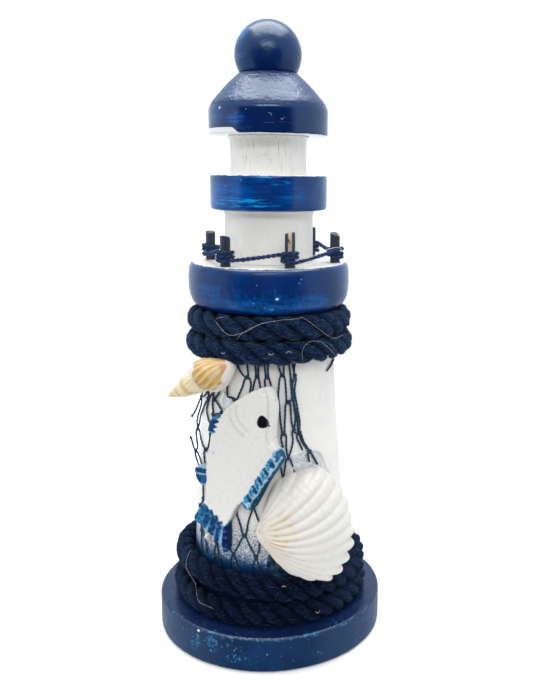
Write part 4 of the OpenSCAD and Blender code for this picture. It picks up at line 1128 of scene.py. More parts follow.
def fish():
    outline = rounded([(x, y, 0.55) for x, y in FISH], True, 5, 0.28)
    lo, hi = outline.min(0), outline.max(0)
    st = 0.25
    gx, gy = np.meshgrid(np.arange(lo[0], hi[0], st), np.arange(lo[1], hi[1], st * 0.866))
    gx = gx + (np.arange(gx.shape[0]) % 2 * st / 2)[:, None]
    pts = np.stack([gx.ravel(), gy.ravel()], -1)
    pts = pts[inside(pts, outline)]
    pts = pts[seg_dist(pts, outline, True) > 0.42]
    nb = len(outline)
    tan = unit(np.roll(outline, -1, 0) - np.roll(outline, 1, 0))
    inward = np.stack([tan[:, 1], -tan[:, 0]], -1)
    area2 = np.sum(outline[:, 0] * np.roll(outline[:, 1], -1) - np.roll(outline[:, 0], -1) * outline[:, 1])
    if area2 > 0:
        inward = -inward
    rings = []
    for d in (0.10, 0.24):
        q = outline + inward * d
        q = q[inside(q, outline)]
        q = q[seg_dist(q, outline, True) > d * 0.85]
        rings.append(q)
    allp = np.concatenate([outline] + rings + [pts])
    vs, es, fs, _, _, _ = delaunay_2d_cdt([Vector(p) for p in allp], [(i, (i + 1) % nb) for i in range(nb)], [], 1, 1e-5)
    V = np.array([(v.x, v.y) for v in vs])
    F = [tuple(f) for f in fs]
    e = {}
    for f in F:
        for i in range(len(f)):
            a, b = f[i], f[(i + 1) % len(f)]
            e[(a, b)] = 1
    border = [(a, b) for (a, b) in e if (b, a) not in e]
    d = seg_dist(V, outline, True)
    u, v = V[:, 0], V[:, 1]
    # rounded front edge, a wider planed facet along the right of the head
    bev = 0.55
    drop = 0.55 * (1 - np.sqrt(np.clip(1 - (1 - np.clip(d / bev, 0, 1)) ** 2, 0, 1)))
    head = smooth(v, 9.5, 12) * smooth(u, 8.5, 10.5)
    facet = np.clip(1 - d / 2.2, 0, 1) * 1.0 * head
    h = FISH_T - np.maximum(drop, facet)

    def carve(line, width, depth):
        dd = seg_dist(V, spline(line, 0.3))
        return depth * np.exp(-(dd / width) ** 2)

    h = h - carve([(1.7, 20.8), (1.4, 18.7), (2.4, 16.4), (5.2, 13.8)], 0.24, 0.46)
    h = h - carve([(-0.4, 19.7), (-0.6, 17.6), (1.0, 14.5), (3.9, 12.2)], 0.28, 0.50)
    h = h + 0.10 * np.exp(-(seg_dist(V, spline([(0.6, 20.4), (0.4, 18.2), (1.7, 15.4), (4.6, 13.0)], 0.3)) / 0.45) ** 2)
    h = h - carve([(10.3, 25.9), (11.4, 23.4), (11.5, 20), (11.6, 16), (11.1, 13.2), (12.0, 10.6)], 0.20, 0.30)
    rim = np.hypot((u - 9.8) * 0.8, v - 25.9)
    h = h - 0.34 * np.exp(-((rim - 0.75) / 0.24) ** 2) - 0.30 * np.exp(-(rim / 0.35) ** 2)
    h = h + 0.05 * fbm(np.stack([u * 0.22, v * 0.22, u * 0], -1), 2, 12) + 0.02 * fbm(np.stack([u * 1.3, v * 1.3, u * 0], -1), 2, 13)
    tone = fbm(np.stack([u * 1.1, v * 1.1, u * 0 + 4], -1), 3, 14)
    white = np.array([0.655, 0.652, 0.640])
    dark = np.array([0.0010, 0.0240, 0.0950])
    mid = np.array([0.0030, 0.0920, 0.2300])
    brt = np.array([0.0030, 0.1750, 0.3800])
    pal = np.array([0.3000, 0.5000, 0.6200])
    col = np.tile(white, (len(V), 1))

    def paint(mask, c):
        nonlocal col
        k = np.clip(mask, 0, 1)[:, None]
        col = col * (1 - k) + np.asarray(c) * k

    wob = 0.22 * fbm(np.stack([u * 0.9, v * 0.9, u * 0 + 9], -1), 2, 15)
    # dorsal fin: six pads down the right edge
    t = np.array([-0.525, -0.851])
    nn = np.array([0.851, -0.525])
    s = (V - [14.0, 9.6]) @ t
    w = (V - [14.0, 9.6]) @ nn + wob
    k = (s - 0.35 * w + 0.9) / 3.33
    idx, fr = np.floor(k), k - np.floor(k)
    scallop = 0.10 + 0.50 * np.abs(2 * fr - 1.05) ** 3
    live = smooth(v, 10.3, 9.9) * smooth(s, -1.8, -1.4)
    fin = smooth(w - scallop, -0.10, 0.12) * live
    paint(fin, pal * (1 + 0.25 * tone[:, None]))
    merged = ((idx == 1) | (idx >= 5)).astype(float)
    rag = 0.05 * tone
    barm = smooth(fr + rag, 0.05, 0.10) * smooth(fr + rag, 0.52 + 0.06 * merged, 0.45 + 0.06 * merged) * smooth(w - scallop, 0.02, 0.22) * smooth(w + 0.25 * wob, 2.86, 2.68)
    lit = smooth(fr + 0.10 * tone - 0.10 * (w - 1.4), 0.26, 0.46)[:, None]
    bc = (dark * 0.85 + mid * 0.15) * (1 - lit) + mid * 1.05 * lit
    low = smooth(fr + rag, 0.54 - 0.10 * merged, 0.58 - 0.10 * merged) * smooth(fr + rag, 0.99, 0.94) * smooth(w - scallop, 0.0, 0.16) * smooth(w + 0.8 * tone, 2.55 + 0.2 * merged, 2.25 + 0.2 * merged)
    lc = brt[None] * (1 + 0.35 * tone[:, None])
    top0 = (idx < 1).astype(float)
    paint(fin * low * (1 - 0.55 * top0), np.clip(lc, 0, 1))
    paint(fin * barm * (1 - top0), np.clip(bc * (1 + 0.4 * tone[:, None]), 0, 1))
    cap = top0 * smooth(w + 0.3 * tone, 0.95, 1.2) * smooth(w, 2.75, 2.5) * smooth(fr + rag, 0.80, 0.70)
    paint(fin * cap, np.clip((dark * 0.45 + mid * 0.55 + 0.012)[None] * (1 + 0.5 * tone[:, None]), 0, 1))
    pad = np.maximum.reduce([barm * (1 - top0), low, cap])
    fl = smooth(vnoise(np.stack([u * 2.3, v * 2.3, u * 0 + 3], -1), 91), 0.52, 0.68)
    paint(fin * low * fl * 0.45, np.array([0.40, 0.60, 0.72]))
    paint(fin * barm * smooth(vnoise(np.stack([u * 3.1, v * 3.1, u * 0 + 8], -1), 92), 0.66, 0.80) * 0.5, np.array([0.10, 0.30, 0.46]))
    wall = np.array([0.0150, 0.0700, 0.1600]) + (np.array([0.0025, 0.0420, 0.1050]) - np.array([0.0150, 0.0700, 0.1600])) * smooth(v, 3, -4)[:, None]
    paint(live * smooth(w, 3.02, 3.2), wall * (1 + 0.4 * tone[:, None]))
    h = h + 0.20 * fin * pad - 0.22 * fin * (1 - pad)
    # ticks on the body beside the fin
    for kk in range(6):
        c = np.array([14.0, 9.6]) + t * (3.33 * (kk + 1) - 0.9) + nn * 0.9
        h = h - carve([tuple(c), tuple(c + np.array([-2.0, 2.5]))], 0.13, 0.24)
    # tail: four bars
    edge = [(-9.6, -9.3), (-8.2, -9.9), (-7.3, -10.7), (-6.6, -11.6), (-5.6, -11.3), (-5.1, -12.9), (-3.9, -12.7), (-3.3, -14.6), (-2.2, -14.3), (-1.7, -15.8), (-0.9, -14.9), (1.5, -14.6)]
    lim = np.interp(u, [p[0] for p in edge], [p[1] for p in edge])
    tail = smooth(v - lim + 0.8 * wob, 0.25, -0.05)
    paint(tail, np.array([0.10, 0.27, 0.42]) * (1 + 0.6 * tone[:, None]))
    for a, b, wd, c in (((-9.0, -10.4), (-10.7, -14.6), 1.66, (0.0050, 0.0940, 0.2150)), ((-6.5, -11.9), (-8.6, -16.4), 1.12, (0.0022, 0.0580, 0.1620)),
                        ((-4.6, -13.1), (-6.1, -18.3), 1.04, (0.0016, 0.0430, 0.1350)), ((-3.2, -15.2), (-3.9, -20.4), 0.76, (0.0012, 0.0350, 0.1480)), ((-1.15, -15.9), (-1.25, -23.6), 0.85, (0.0012, 0.0150, 0.1000))):
        dd = seg_dist(V, np.array([a, b])) + 0.8 * wob
        bar = smooth(dd, wd + 0.12, wd - 0.12) * tail
        cc = np.asarray(c)[None] * (1 + 0.45 * tone[:, None])
        paint(bar, np.clip(cc, 0, 1))
        h = h + 0.18 * bar
    h = h - 0.12 * tail
    worn = smooth(tone, 0.36, 0.56) * np.maximum(tail, fin)
    paint(0.14 * worn, pal)
    # belly fin and small upper fin on the left
    lim = -7.75 + 0.25 * np.sin(v * 2.1)
    belly = smooth(u - lim + wob, 0.1, -0.15) * smooth(v, -4.6, -4.2) * smooth(v, 2.3, 1.9)
    paint(belly, pal * 0.8)
    for vv, hw, c in ((0.05, 0.80, np.array([0.0040, 0.0500, 0.1600])), (-2.5, 1.32, np.array([0.0090, 0.0660, 0.1750]))):
        bar = smooth(np.abs(v - vv) + 0.6 * wob, hw + 0.1, hw - 0.15) * belly
        paint(bar, np.clip(np.asarray(c)[None] * (1 + 0.7 * tone[:, None]), 0, 1))
    h = h - 0.10 * belly
    jag = -6.1 + 1.1 * (np.abs(((v - 12.2) / 1.55) % 1 - 0.5) * 2) + 0.35 * (v - 12)
    up = smooth(u - jag + 0.8 * wob, 0.15, -0.15) * smooth(v, 11.2, 11.7)
    paint(up, np.clip(np.array([0.0060, 0.0520, 0.1450])[None] * (1 + 0.7 * tone[:, None]), 0, 1))
    paint(up * smooth(v, 15.6, 16.4) * 0.8, np.array([0.05, 0.24, 0.36]))
    paint(up * smooth(v, 12.3, 11.9) * 0.6, pal)
    # eye
    de = np.hypot(u - 10.0, (v - 17.0) * 0.97) - 0.12 * np.cos(3 * np.arctan2(v - 17, u - 10) + 1.0)
    de = np.minimum(de, 1.7 + 1.6 * seg_dist(V, np.array([(10.9, 16.3), (11.85, 16.15)])) - 0.45)
    eye = smooth(de, 1.86, 1.70)
    paint(eye, np.array([0.0008, 0.0016, 0.0050]))
    h = h - 0.12 * eye
    # painted shade: a faint grey line along the carved facet groove on the right of the head
    paint(0.30 * np.exp(-(seg_dist(V, spline([(10.3, 25.9), (11.4, 23.4), (11.5, 20), (11.6, 16), (11.1, 13.2), (12.0, 10.6)], 0.3)) / 0.22) ** 2), np.array([0.42, 0.43, 0.44]))
    # specks of dirt in the white
    sp = vnoise(np.stack([u * 2.2, v * 2.2, u * 0], -1), 77)
    clean = 1 - np.maximum.reduce([fin, tail, belly, up, eye])
    paint(0.28 * clean * smooth(sp, 0.62, 0.80), np.array([0.42, 0.42, 0.42]))
    paint(0.85 * smooth(np.hypot(u + 5.6, v - 6.0), 0.32, 0.15), np.array([0.08, 0.13, 0.30]))
    lump = smooth(fbm(np.stack([u * 0.5, v * 0.5, u * 0 + 2], -1), 2, 31), 0.2, 0.7)
    paint(0.10 * clean * lump, np.array([0.66, 0.66, 0.65]))
    # closed board: front, two edge rows, back
    n = len(V)
    front = np.column_stack([V, h])
    idx = {a: i for i, a in enumerate(sorted({a for a, b in border}))}
    loop = np.array(sorted(idx))
    hb = h[loop]
    shrink = np.column_stack([V[loop] + 0, hb - 0.35])
    low = np.column_stack([V[loop], np.full(len(loop), 0.35)])
    back = np.column_stack([V * 1.0, np.zeros(n)])
    verts = np.concatenate([front, shrink, low, back])
    o1, o2, o3 = n, n + len(loop), n + 2 * len(loop)
    faces = list(F)
    faces += [tuple(o3 + i for i in reversed(f)) for f in F]
    for a, b in border:
        ia, ib = idx[a], idx[b]
        faces += [(b, a, o1 + ia, o1 + ib), (o1 + ib, o1 + ia, o2 + ia, o2 + ib), (o2 + ib, o2 + ia, o3 + a, o3 + b)]
    sidec = col[loop].copy()
    finside = (smooth(u[loop], 3.0, 4.5) * smooth(v[loop], 9.6, 9.0) * smooth(v[loop], -9.6, -9.2))[:, None] * (smooth((V[loop] - [14.0, 9.6]) @ nn, 0.6, 1.2))[:, None]
    sidec = sidec * (1 - finside) + wall[loop] * finside
    tailside = (smooth(u[loop], -2.2, -1.6) * smooth(v[loop], -14.4, -15.2))[:, None]
    sidec = sidec * (1 - tailside) + dark * 0.9 * tailside
    # painted shade: the white side wall of the lower right body is coloured grey
    belly_wall_shade = (smooth(v[loop], -14.8, -13.4) * smooth(v[loop], -7.6, -8.6) * smooth(u[loop], -1.2, -0.2) * smooth(u[loop], 4.2, 3.4))[:, None]
    sidec = sidec * (1 - belly_wall_shade) + np.array([0.40, 0.41, 0.42]) * belly_wall_shade
    cols = np.concatenate([col, sidec, sidec * 0.95, np.tile(np.array([0.62, 0.62, 0.60]), (n, 1))])
    # local frame on the tower side
    a = math.radians(-22)
    Rz = np.array([[math.cos(a), -math.sin(a), 0], [math.sin(a), math.cos(a), 0], [0, 0, 1]])
    b = math.pi / 2 - LEAN
    Rx = np.array([[1, 0, 0], [0, math.cos(b), -math.sin(b)], [0, math.sin(b), math.cos(b)]])
    W = (verts + [0, 0, 0.9]) @ Rx.T + [0, -float(tower_r(56.0)), 56.0]
    return W @ Rz.T, faces, cols


m = Mat("fish_paint")
base = m.attr("paint", True)
n1 = m.noise(1.6, 4, 0.6)
n2 = m.noise(7.0, 3, 0.6)
col = m.mix(m.mul(m.step(n1, 0.45, 0.75), 0.10), base, (0.52, 0.53, 0.54), "MULTIPLY")
col = m.mix(m.mul(m.step(n2, 0.62, 0.78), 0.012), col, (0.9, 0.95, 1.0))
m.set(Base_Color=col, Roughness=m.step(n1, 0.3, 0.7, 0.55, 0.72), Normal=m.bump(m.add(m.mul(n2, 0.5), n1), 0.30, 0.10))
m.b.inputs["Specular IOR Level"].default_value = 0.10
W, Fc, Cc = fish()
build("fish_board", W, Fc, m.m, node="fish_plaque", slot="fish_paint", attrs={"paint": Cc})


# ------------------------------------------------------------------ whelk
def rot(axis, deg):
    return np.array(Matrix.Rotation(math.radians(deg), 3, axis))


def whelk():
    L = 23.4
    nt, nd = 260, 250
    Wr, D0 = 1.80, 11.3
    tip = polar(float(tower_r(87.5)) + 4, -27.5, 87.5) + rot("Z", 167) @ rot("Y", 119) @ np.array([0, 0, 20.5]) + np.array([-0.06, 0, 0.27])
    place = rot("Z", 167) @ rot("Y", 118.3)
    origin = tip - place @ np.array([0, 0, L])
    tf = math.radians(92.7)
    th = np.arange(nt) * 2 * math.pi / nt
    dl = L * np.linspace(0.02, 1, nd) ** 1.0
    T, D = np.meshgrid(th, dl)
    rel = (T - tf + math.pi) % (2 * math.pi) - math.pi
    skew = D + 1.57 * np.sin(rel) * smooth(D, 4, 11) * smooth(D, L, L - 4.5)
    r0 = np.interp(skew, [0, 0.26, 0.72, 1.55, 3.1, 5.1, 7.2, 9.0, 10.7, 11.5, 12.5, 13.9, 15.6, 17.2, 18.9, 20.3, 21.5, 22.5, 23.1, 23.4],
                   [0.0, 0.38, 0.66, 0.98, 1.54, 2.30, 2.94, 3.46, 3.80, 4.14, 4.80, 5.40, 5.30, 4.86, 4.20, 3.46, 2.86, 2.23, 1.47, 0.76])
    q = np.log(D0 / D) / math.log(Wr) - rel / (2 * math.pi)
    w = q - np.floor(q)
    spire = q > 0
    ds = D0 * Wr ** (-rel / (2 * math.pi))
    db = D - ds
    r = r0.copy()
    lump = 0.060 * np.sin(math.pi * w) ** 0.8 - 0.02
    r = np.where(spire, r0 * (1 + lump), r0)
    r -= np.where(spire, 0.05 * r0 * np.exp(-w / 0.05), 0)
    r -= np.where(~spire, 0.42 * np.exp(-np.clip(db, 0, 9) / 0.35) * (r0 / 5), 0)
    ribs = 17
    tilt = -0.055
    ph = ribs * (T + tilt * D)
    ribh = np.cos(ph)
    amp = np.where(spire, 0.018 * r0, 0.10 * smooth(db, 0.2, 1.4) * smooth(D, 21.5, 18.5))
    r += amp * ribh
    r += 0.012 * np.cos(2 * math.pi * D / 0.62) * np.where(spire, 0.5, 1.0)
    deg = np.degrees(rel)
    lip = np.exp(-((deg + 66) / 15.0) ** 2) * smooth(db, -0.2, 1.5)
    lip2 = np.exp(-((deg - 84) / 17.0) ** 2) * smooth(db, -0.2, 1.2)
    r += 0.15 * lip + 0.05 * lip2
    bulge = smooth(D, 15.5, 19.5) * np.exp(-((deg + 25) / 45.0) ** 2)
    r += 0.30 * bulge
    r += 0.04 * fbm(np.stack([r * np.cos(T) * 0.5, r * np.sin(T) * 0.5, D * 0.5], -1), 2, 4)
    X = np.stack([r * np.cos(T), r * np.sin(T), L - D], -1)
    X[..., :2] += 0.29 * smooth(D, 6, 16)[..., None] * np.array([-math.sin(tf), math.cos(tf)])
    verts = np.concatenate([X.reshape(-1, 3), [[0, 0, L], [0, 0, -0.15]]])
    faces = [(f[3], f[2], f[1], f[0]) for f in grid_faces(nd, nt)]
    k = nd * nt
    faces += [(k, j, (j + 1) % nt) for j in range(nt)]
    faces += [(k + 1, (nd - 1) * nt + (j + 1) % nt, (nd - 1) * nt + j) for j in range(nt)]
    # colours
    cream = np.array([0.685, 0.595, 0.390])
    ivory = np.array([0.715, 0.660, 0.525])
    tan = np.array([0.575, 0.385, 0.150])
    ochre = np.array([0.470, 0.280, 0.070])
    amber = np.array([0.500, 0.205, 0.030])
    white = np.array([0.690, 0.670, 0.640])
    rust = np.array([0.470, 0.205, 0.095])
    shp = X.shape[:2]
    col = np.tile(cream, shp + (1,))

    def paint(mask, c):
        nonlocal col
        col = col * (1 - mask[..., None]) + np.asarray(c) * mask[..., None]

    nz = fbm(np.stack([np.cos(T) * 3, np.sin(T) * 3, D * 0.35], -1), 3, 6)
    rib01 = 0.5 + 0.5 * ribh
    sp = spire.astype(float)
    paint(sp * smooth(w, 0.55, 0.20) * 0.6 * (0.7 + 0.4 * nz), ivory)
    paint(sp * smooth(np.abs(w - 0.80), 0.30, 0.12) * np.clip(0.85 + 0.4 * nz, 0, 1), np.array([0.60, 0.40, 0.150]))
    paint(sp * smooth(np.abs(w - 0.55), 0.12, 0.04) * np.clip(0.18 + 0.5 * nz, 0, 1), np.array([0.61, 0.45, 0.21]))
    paint(sp * rib01 * 0.30, np.array([0.71, 0.65, 0.48]))
    bd = 1 - sp
    shoulder = 0.05 + 2.7 * smooth(deg, 8, 48)
    panel = bd * smooth(deg, -65, -54) * smooth(deg, 125, 108) * smooth(db - shoulder, -0.15, 0.35) * smooth(D - 19.0 - 3.0 * smooth(deg, -40, -2), 0.5, -0.3)
    paint(bd, white)
    paint(panel * np.clip(0.95 + 0.3 * nz, 0, 1), (tan * 0.80 + ochre * 0.20) * np.array([0.95, 0.97, 1.0]))
    mid_band = smooth(np.abs(db - 3.6 - 0.4 * nz), 1.9, 0.6) * smooth(-ribh, -0.5, 0.4)
    paint(panel * mid_band * 0.80, ochre)
    paint(panel * smooth(ribh, 0.35, 0.95) * 0.60, np.array([0.66, 0.52, 0.31]))
    paint(panel * smooth(np.abs(db - shoulder - 0.55), 0.8, 0.2) * 0.40, np.array([0.52, 0.33, 0.20]))
    for dg, dd, sg, sd in ((-1, 12.7, 6.0, 0.95), (-14, 13.1, 6.0, 0.95), (-43, 18.2, 7.0, 0.75)):
        paint(bd * smooth(np.hypot((deg - dg) / sg, (D - dd) / sd), 1.25, 0.45) * 0.90, amber)
    paint(panel * smooth(D, 19.4, 20.8) * smooth(deg, -26, -12) * smooth(deg, 40, 10) * 0.75, rust)
    paint(panel * smooth(D, 18.0, 20.0) * smooth(deg, 20, 45) * 0.40, rust)
    paint(bd * lip * 0.7 * (1 - smooth(np.hypot((deg + 43) / 7.0, (D - 18.2) / 0.75), 1.25, 0.45)), white)
    allc = np.concatenate([col.reshape(-1, 3), [cream * 0.97, white]])
    return verts @ place.T + origin, faces, allc


m = Mat("whelk_shell")
base = m.attr("paint", True)
n1 = m.noise(0.9, 4, 0.6)
n2 = m.noise(5.0, 3, 0.6)
col = m.mix(m.mul(m.step(n1, 0.4, 0.75), 0.18), base, (0.80, 0.66, 0.44), "MULTIPLY")
m.set(Base_Color=col, Roughness=m.step(n1, 0.3, 0.7, 0.34, 0.48), Normal=m.bump(m.add(n1, m.mul(n2, 0.3)), 0.14, 0.08),
      Subsurface_Weight=0.12)
m.b.inputs["Specular IOR Level"].default_value = 0.28
m.b.inputs["Subsurface Radius"].default_value = (0.0012, 0.0008, 0.0004)
m.b.inputs["Subsurface Scale"].default_value = 1.0
W, Fc, Cc = whelk()
build("whelk_coiled", W, Fc, m.m, node="whelk_shell", slot="whelk", attrs={"paint": Cc})


# ------------------------------------------------------------------ cockle
EDGE = [(-180, 1.0), (-140, 1.4), (-105, 2.4), (-83, 3.9), (-72, 6.0), (-67, 7.8), (-63.5, 10.4), (-59, 13.8), (-52, 17.6), (-42, 22.6), (-36.5, 25.0), (-31, 25.9), (-24, 26.5), (-9, 27.2),
        (3, 27.2), (17, 27.0), (32, 26.5), (39, 26.2), (44, 25.4), (49, 23.5), (53, 21.3), (58, 19.5), (64, 17.5), (70, 15.2), (75, 11.8), (79, 7.6), (83, 4.9), (90, 3.2), (110, 1.9), (140, 1.3), (180, 1.0)]


def cockle():
    a, b, H, wall = 14.0, 16.4, 9.0, 1.2
    ux, uy = -13.0, -1.8
    ns = 110
    deg1 = np.concatenate([np.linspace(-78, 86, 560), np.linspace(86, 282, 62)[1:-1]])
    nt = len(deg1)
    wrap = (deg1 + 180) % 360 - 180
    fine = np.linspace(-180, 180, 3601)
    reach1 = np.interp(fine, [e[0] for e in EDGE], [e[1] for e in EDGE])
    ker = np.exp(-(np.arange(-40, 41) / 16.0) ** 2)
    reach1 = np.convolve(np.concatenate([reach1[-41:-1], reach1, reach1[1:41]]), ker / ker.sum(), "valid")
    reach = np.interp(wrap, fine, reach1)
    s = 0.5 - 0.5 * np.cos(math.pi * np.linspace(0.035, 1, ns))
    S, T = np.meshgrid(s, np.radians(wrap), indexing="ij")
    deg = np.degrees(T)
    RR = np.broadcast_to(reach, S.shape)
    p = (np.cos(T) / a) ** 2 + (np.sin(T) / b) ** 2
    f = S * RR
    pitch = 9.0
    # the ribs start behind the beak and sweep up toward the margin
    lab = np.linspace(-200, 200, 2001)
    swing = np.interp(lab, [-90, -60, -45, -30, -16, -6, 3, 12, 21, 28, 36, 46, 58, 80, 100], [0, 20, 27, 31, 33, 34, 33, 32, 30, 26, 22, 18, 16, 8, 0])
    swing = np.convolve(np.pad(swing, 40, "edge"), np.hanning(83)[1:-1] / np.hanning(83).sum(), "valid")
    back = np.degrees(np.arctan2(f * np.sin(T), f * np.cos(T) + 3.4))
    eff = back + (deg - back) * S ** 2
    rib = np.empty_like(deg)
    for i in range(ns):
        th = lab - swing * (1 - s[i])
        fixed = np.interp(20.0, lab, th)
        th = th[0] + np.concatenate([[0], np.cumsum(np.maximum(np.diff(th), 0.30 * (lab[1] - lab[0])))])
        th = th + fixed - np.interp(20.0, lab, th)
        rib[i] = np.interp(eff[i], th, lab)
    fr = (rib + 1.9) / pitch + 0.05 * fbm(np.stack([rib * 0.05, S * 2, S * 0], -1), 2, 3)
    fr = fr - np.round(fr)
    side = smooth(rib, -72, -62) * smooth(rib, 82, 72)
    ridge = np.cos(math.pi * fr) ** 0.95
    scal = 1 + side * smooth(S, 0.88, 1.0) * (0.012 * (ridge - 0.5) + 0.052 * smooth(deg, 6, -8) * smooth(deg, -54, -38) * (ridge - 0.5))
    x = ux + f * np.cos(T) * scal
    y = uy + f * np.sin(T) * scal
    z = H * RR * np.sqrt(p * S * (1 - S))
    base = np.stack([x, y, z], -1)
    dS = np.gradient(base, axis=0)
    dT = np.roll(base, -1, 1) - np.roll(base, 1, 1)
    n = unit(np.cross(dS, dT))
    n[-1] = unit(np.stack([np.cos(T[-1]), np.sin(T[-1]), 0 * T[-1]], -1))
    tall = (0.43 - 0.08 * smooth(deg, 5, 30) - 0.12 * smooth(deg, 38, 68) - 0.12 * smooth(deg, -45, -62)) * smooth(f, 0.0, 5.0) * (1 - 0.30 * smooth(S, 0.85, 1.0))
    wave = vnoise(np.stack([deg * 0.02, S * 3, S * 0], -1), 9)
    grow = 0.030 * np.sin(2 * math.pi * f / 2.3 + 1.5 * wave) + 0.018 * np.sin(2 * math.pi * f / 0.85 + 3 * wave)
    bead = 0.045 * np.cos(2 * math.pi * (f / 1.55 + 0.15 * wave)) * ridge * smooth(deg, 4, 22) * smooth(f, 9, 13) * smooth(f, 26, 22)
    push = tall * side * (ridge - 0.6) + (grow + bead) * smooth(S, 0.10, 0.35)
    push = push + 0.05 * fbm(np.stack([x * 0.8, y * 0.8, z * 0.8], -1), 2, 7)
    outer = base + push[..., None] * n
    outer[..., 2] = np.maximum(outer[..., 2], 0.0)
    kx, ky = (a - wall) / a, (b - wall) / b
    flute = side * smooth(S, 0.85, 1.0) * 0.18 * (ridge - 0.5)
    inner = np.stack([(ux + f * np.cos(T)) * kx, (uy + f * np.sin(T)) * ky, np.maximum((H - wall) / H * z + flute, 0.0)], -1)
    top = outer[0].mean(0)
    topi = inner[0].mean(0)
    verts = np.concatenate([outer.reshape(-1, 3), inner.reshape(-1, 3), [top, topi]])
    n1 = ns * nt
    fo = grid_faces(ns, nt)
    faces = [(q_[3], q_[2], q_[1], q_[0]) for q_ in fo]
    faces += [tuple(n1 + i for i in q_) for q_ in fo]
    o = (ns - 1) * nt
    faces += [(o + j, n1 + o + j, n1 + o + (j + 1) % nt, o + (j + 1) % nt) for j in range(nt)]
    faces = faces + [(2 * n1, j, (j + 1) % nt) for j in range(nt)] + [(2 * n1 + 1, n1 + (j + 1) % nt, n1 + j) for j in range(nt)]
    fur = side * (1 - ridge)
    tint = fur ** 1.1 * smooth(f, 2.0, 4.4) * smooth(f, 11.0, 7.0) * smooth(deg, 56, 42)
    patch = np.clip(0.45 + 1.1 * fbm(np.stack([rib * 0.09, S * 20, S * 0 + 5], -1), 2, 17), 0, 1)
    cream = np.array([0.615, 0.605, 0.575])
    col = np.tile(cream, S.shape + (1,))

    def paint(mask, c):
        nonlocal col
        mk = np.clip(mask, 0, 1)[..., None]
        col = col * (1 - mk) + np.asarray(c) * mk

    paint(0.55 * smooth(f, 12.0, 1.0), np.array([0.63, 0.585, 0.480]))
    # painted shade: the furrows between the ribs are darkened, most near the beak
    paint(fur * 0.24 * smooth(f, 22, 6), np.array([0.53, 0.49, 0.415]))
    paint(fur * 0.40 * smooth(f, 1.0, 3.0) * smooth(f, 12, 6) * smooth(deg, 56, 40), np.array([0.53, 0.43, 0.28]))
    paint(0.95 * tint * patch, np.array([0.53, 0.36, 0.18]))
    blush = smooth(fbm(np.stack([x * 0.35, y * 0.35, x * 0 + 2], -1), 2, 27), 0.15, 0.6) * smooth(np.hypot((x - 3) / 7, (y - 8) / 5), 1.0, 0.3)
    paint(0.32 * blush, np.array([0.64, 0.55, 0.36]))
    paint(0.25 * smooth(S, 0.75, 1.0), np.array([0.63, 0.625, 0.605]))
    # painted shade: the upper part of the valve (larger y) is darkened against the strong top light
    paint(0.5 * smooth(y, 3, 13), np.array([0.560, 0.550, 0.515]))
    icol = np.tile(np.array([0.74, 0.71, 0.64]), (n1, 1))
    allc = np.concatenate([col.reshape(-1, 3), icol, [cream, cream]])
    place = rot("Z", 11.4) @ rot("X", 75)
    return verts @ place.T + polar(float(tower_r(41.9)) + 3.9, 26, 41.9), faces, allc


m = Mat("cockle_shell")
base = m.attr("paint", True)
n1 = m.noise(1.2, 4, 0.6)
n2 = m.noise(6.0, 3, 0.6)
col = m.mix(m.mul(m.step(n1, 0.4, 0.75), 0.12), base, (0.86, 0.80, 0.68), "MULTIPLY")
m.set(Base_Color=col, Roughness=m.step(n1, 0.3, 0.7, 0.42, 0.58), Normal=m.bump(m.add(n1, m.mul(n2, 0.4)), 0.18, 0.10),
      Subsurface_Weight=0.10)
m.b.inputs["Subsurface Radius"].default_value = (0.0012, 0.0009, 0.0006)
m.b.inputs["Subsurface Scale"].default_value = 1.0
W, Fc, Cc = cockle()
build("cockle_valve", W, Fc, m.m, node="cockle_shell", slot="cockle", attrs={"paint": Cc})

# ------------------------------------------------------------------ glue
m = Mat("glue_milky")
n1 = m.noise(0.9, 4, 0.6)
n2 = m.noise(3.5, 3, 0.6)
col = m.mix(m.step(n1, 0.35, 0.7), (0.66, 0.68, 0.69), (0.76, 0.77, 0.77))
col = m.mix(m.mul(m.step(n2, 0.62, 0.72), 0.5), col, (0.42, 0.45, 0.48))
m.set(Base_Color=col, Roughness=m.step(n1, 0.3, 0.7, 0.18, 0.34), Normal=m.bump(m.add(n1, m.mul(n2, 0.3)), 0.35, 0.25),
      Subsurface_Weight=0.25, Transmission_Weight=0.25)
m.b.inputs["Subsurface Radius"].default_value = (0.002, 0.002, 0.002)
m.b.inputs["Subsurface Scale"].default_value = 1.0
m.b.inputs["IOR"].default_value = 1.47
GLUE = m.m


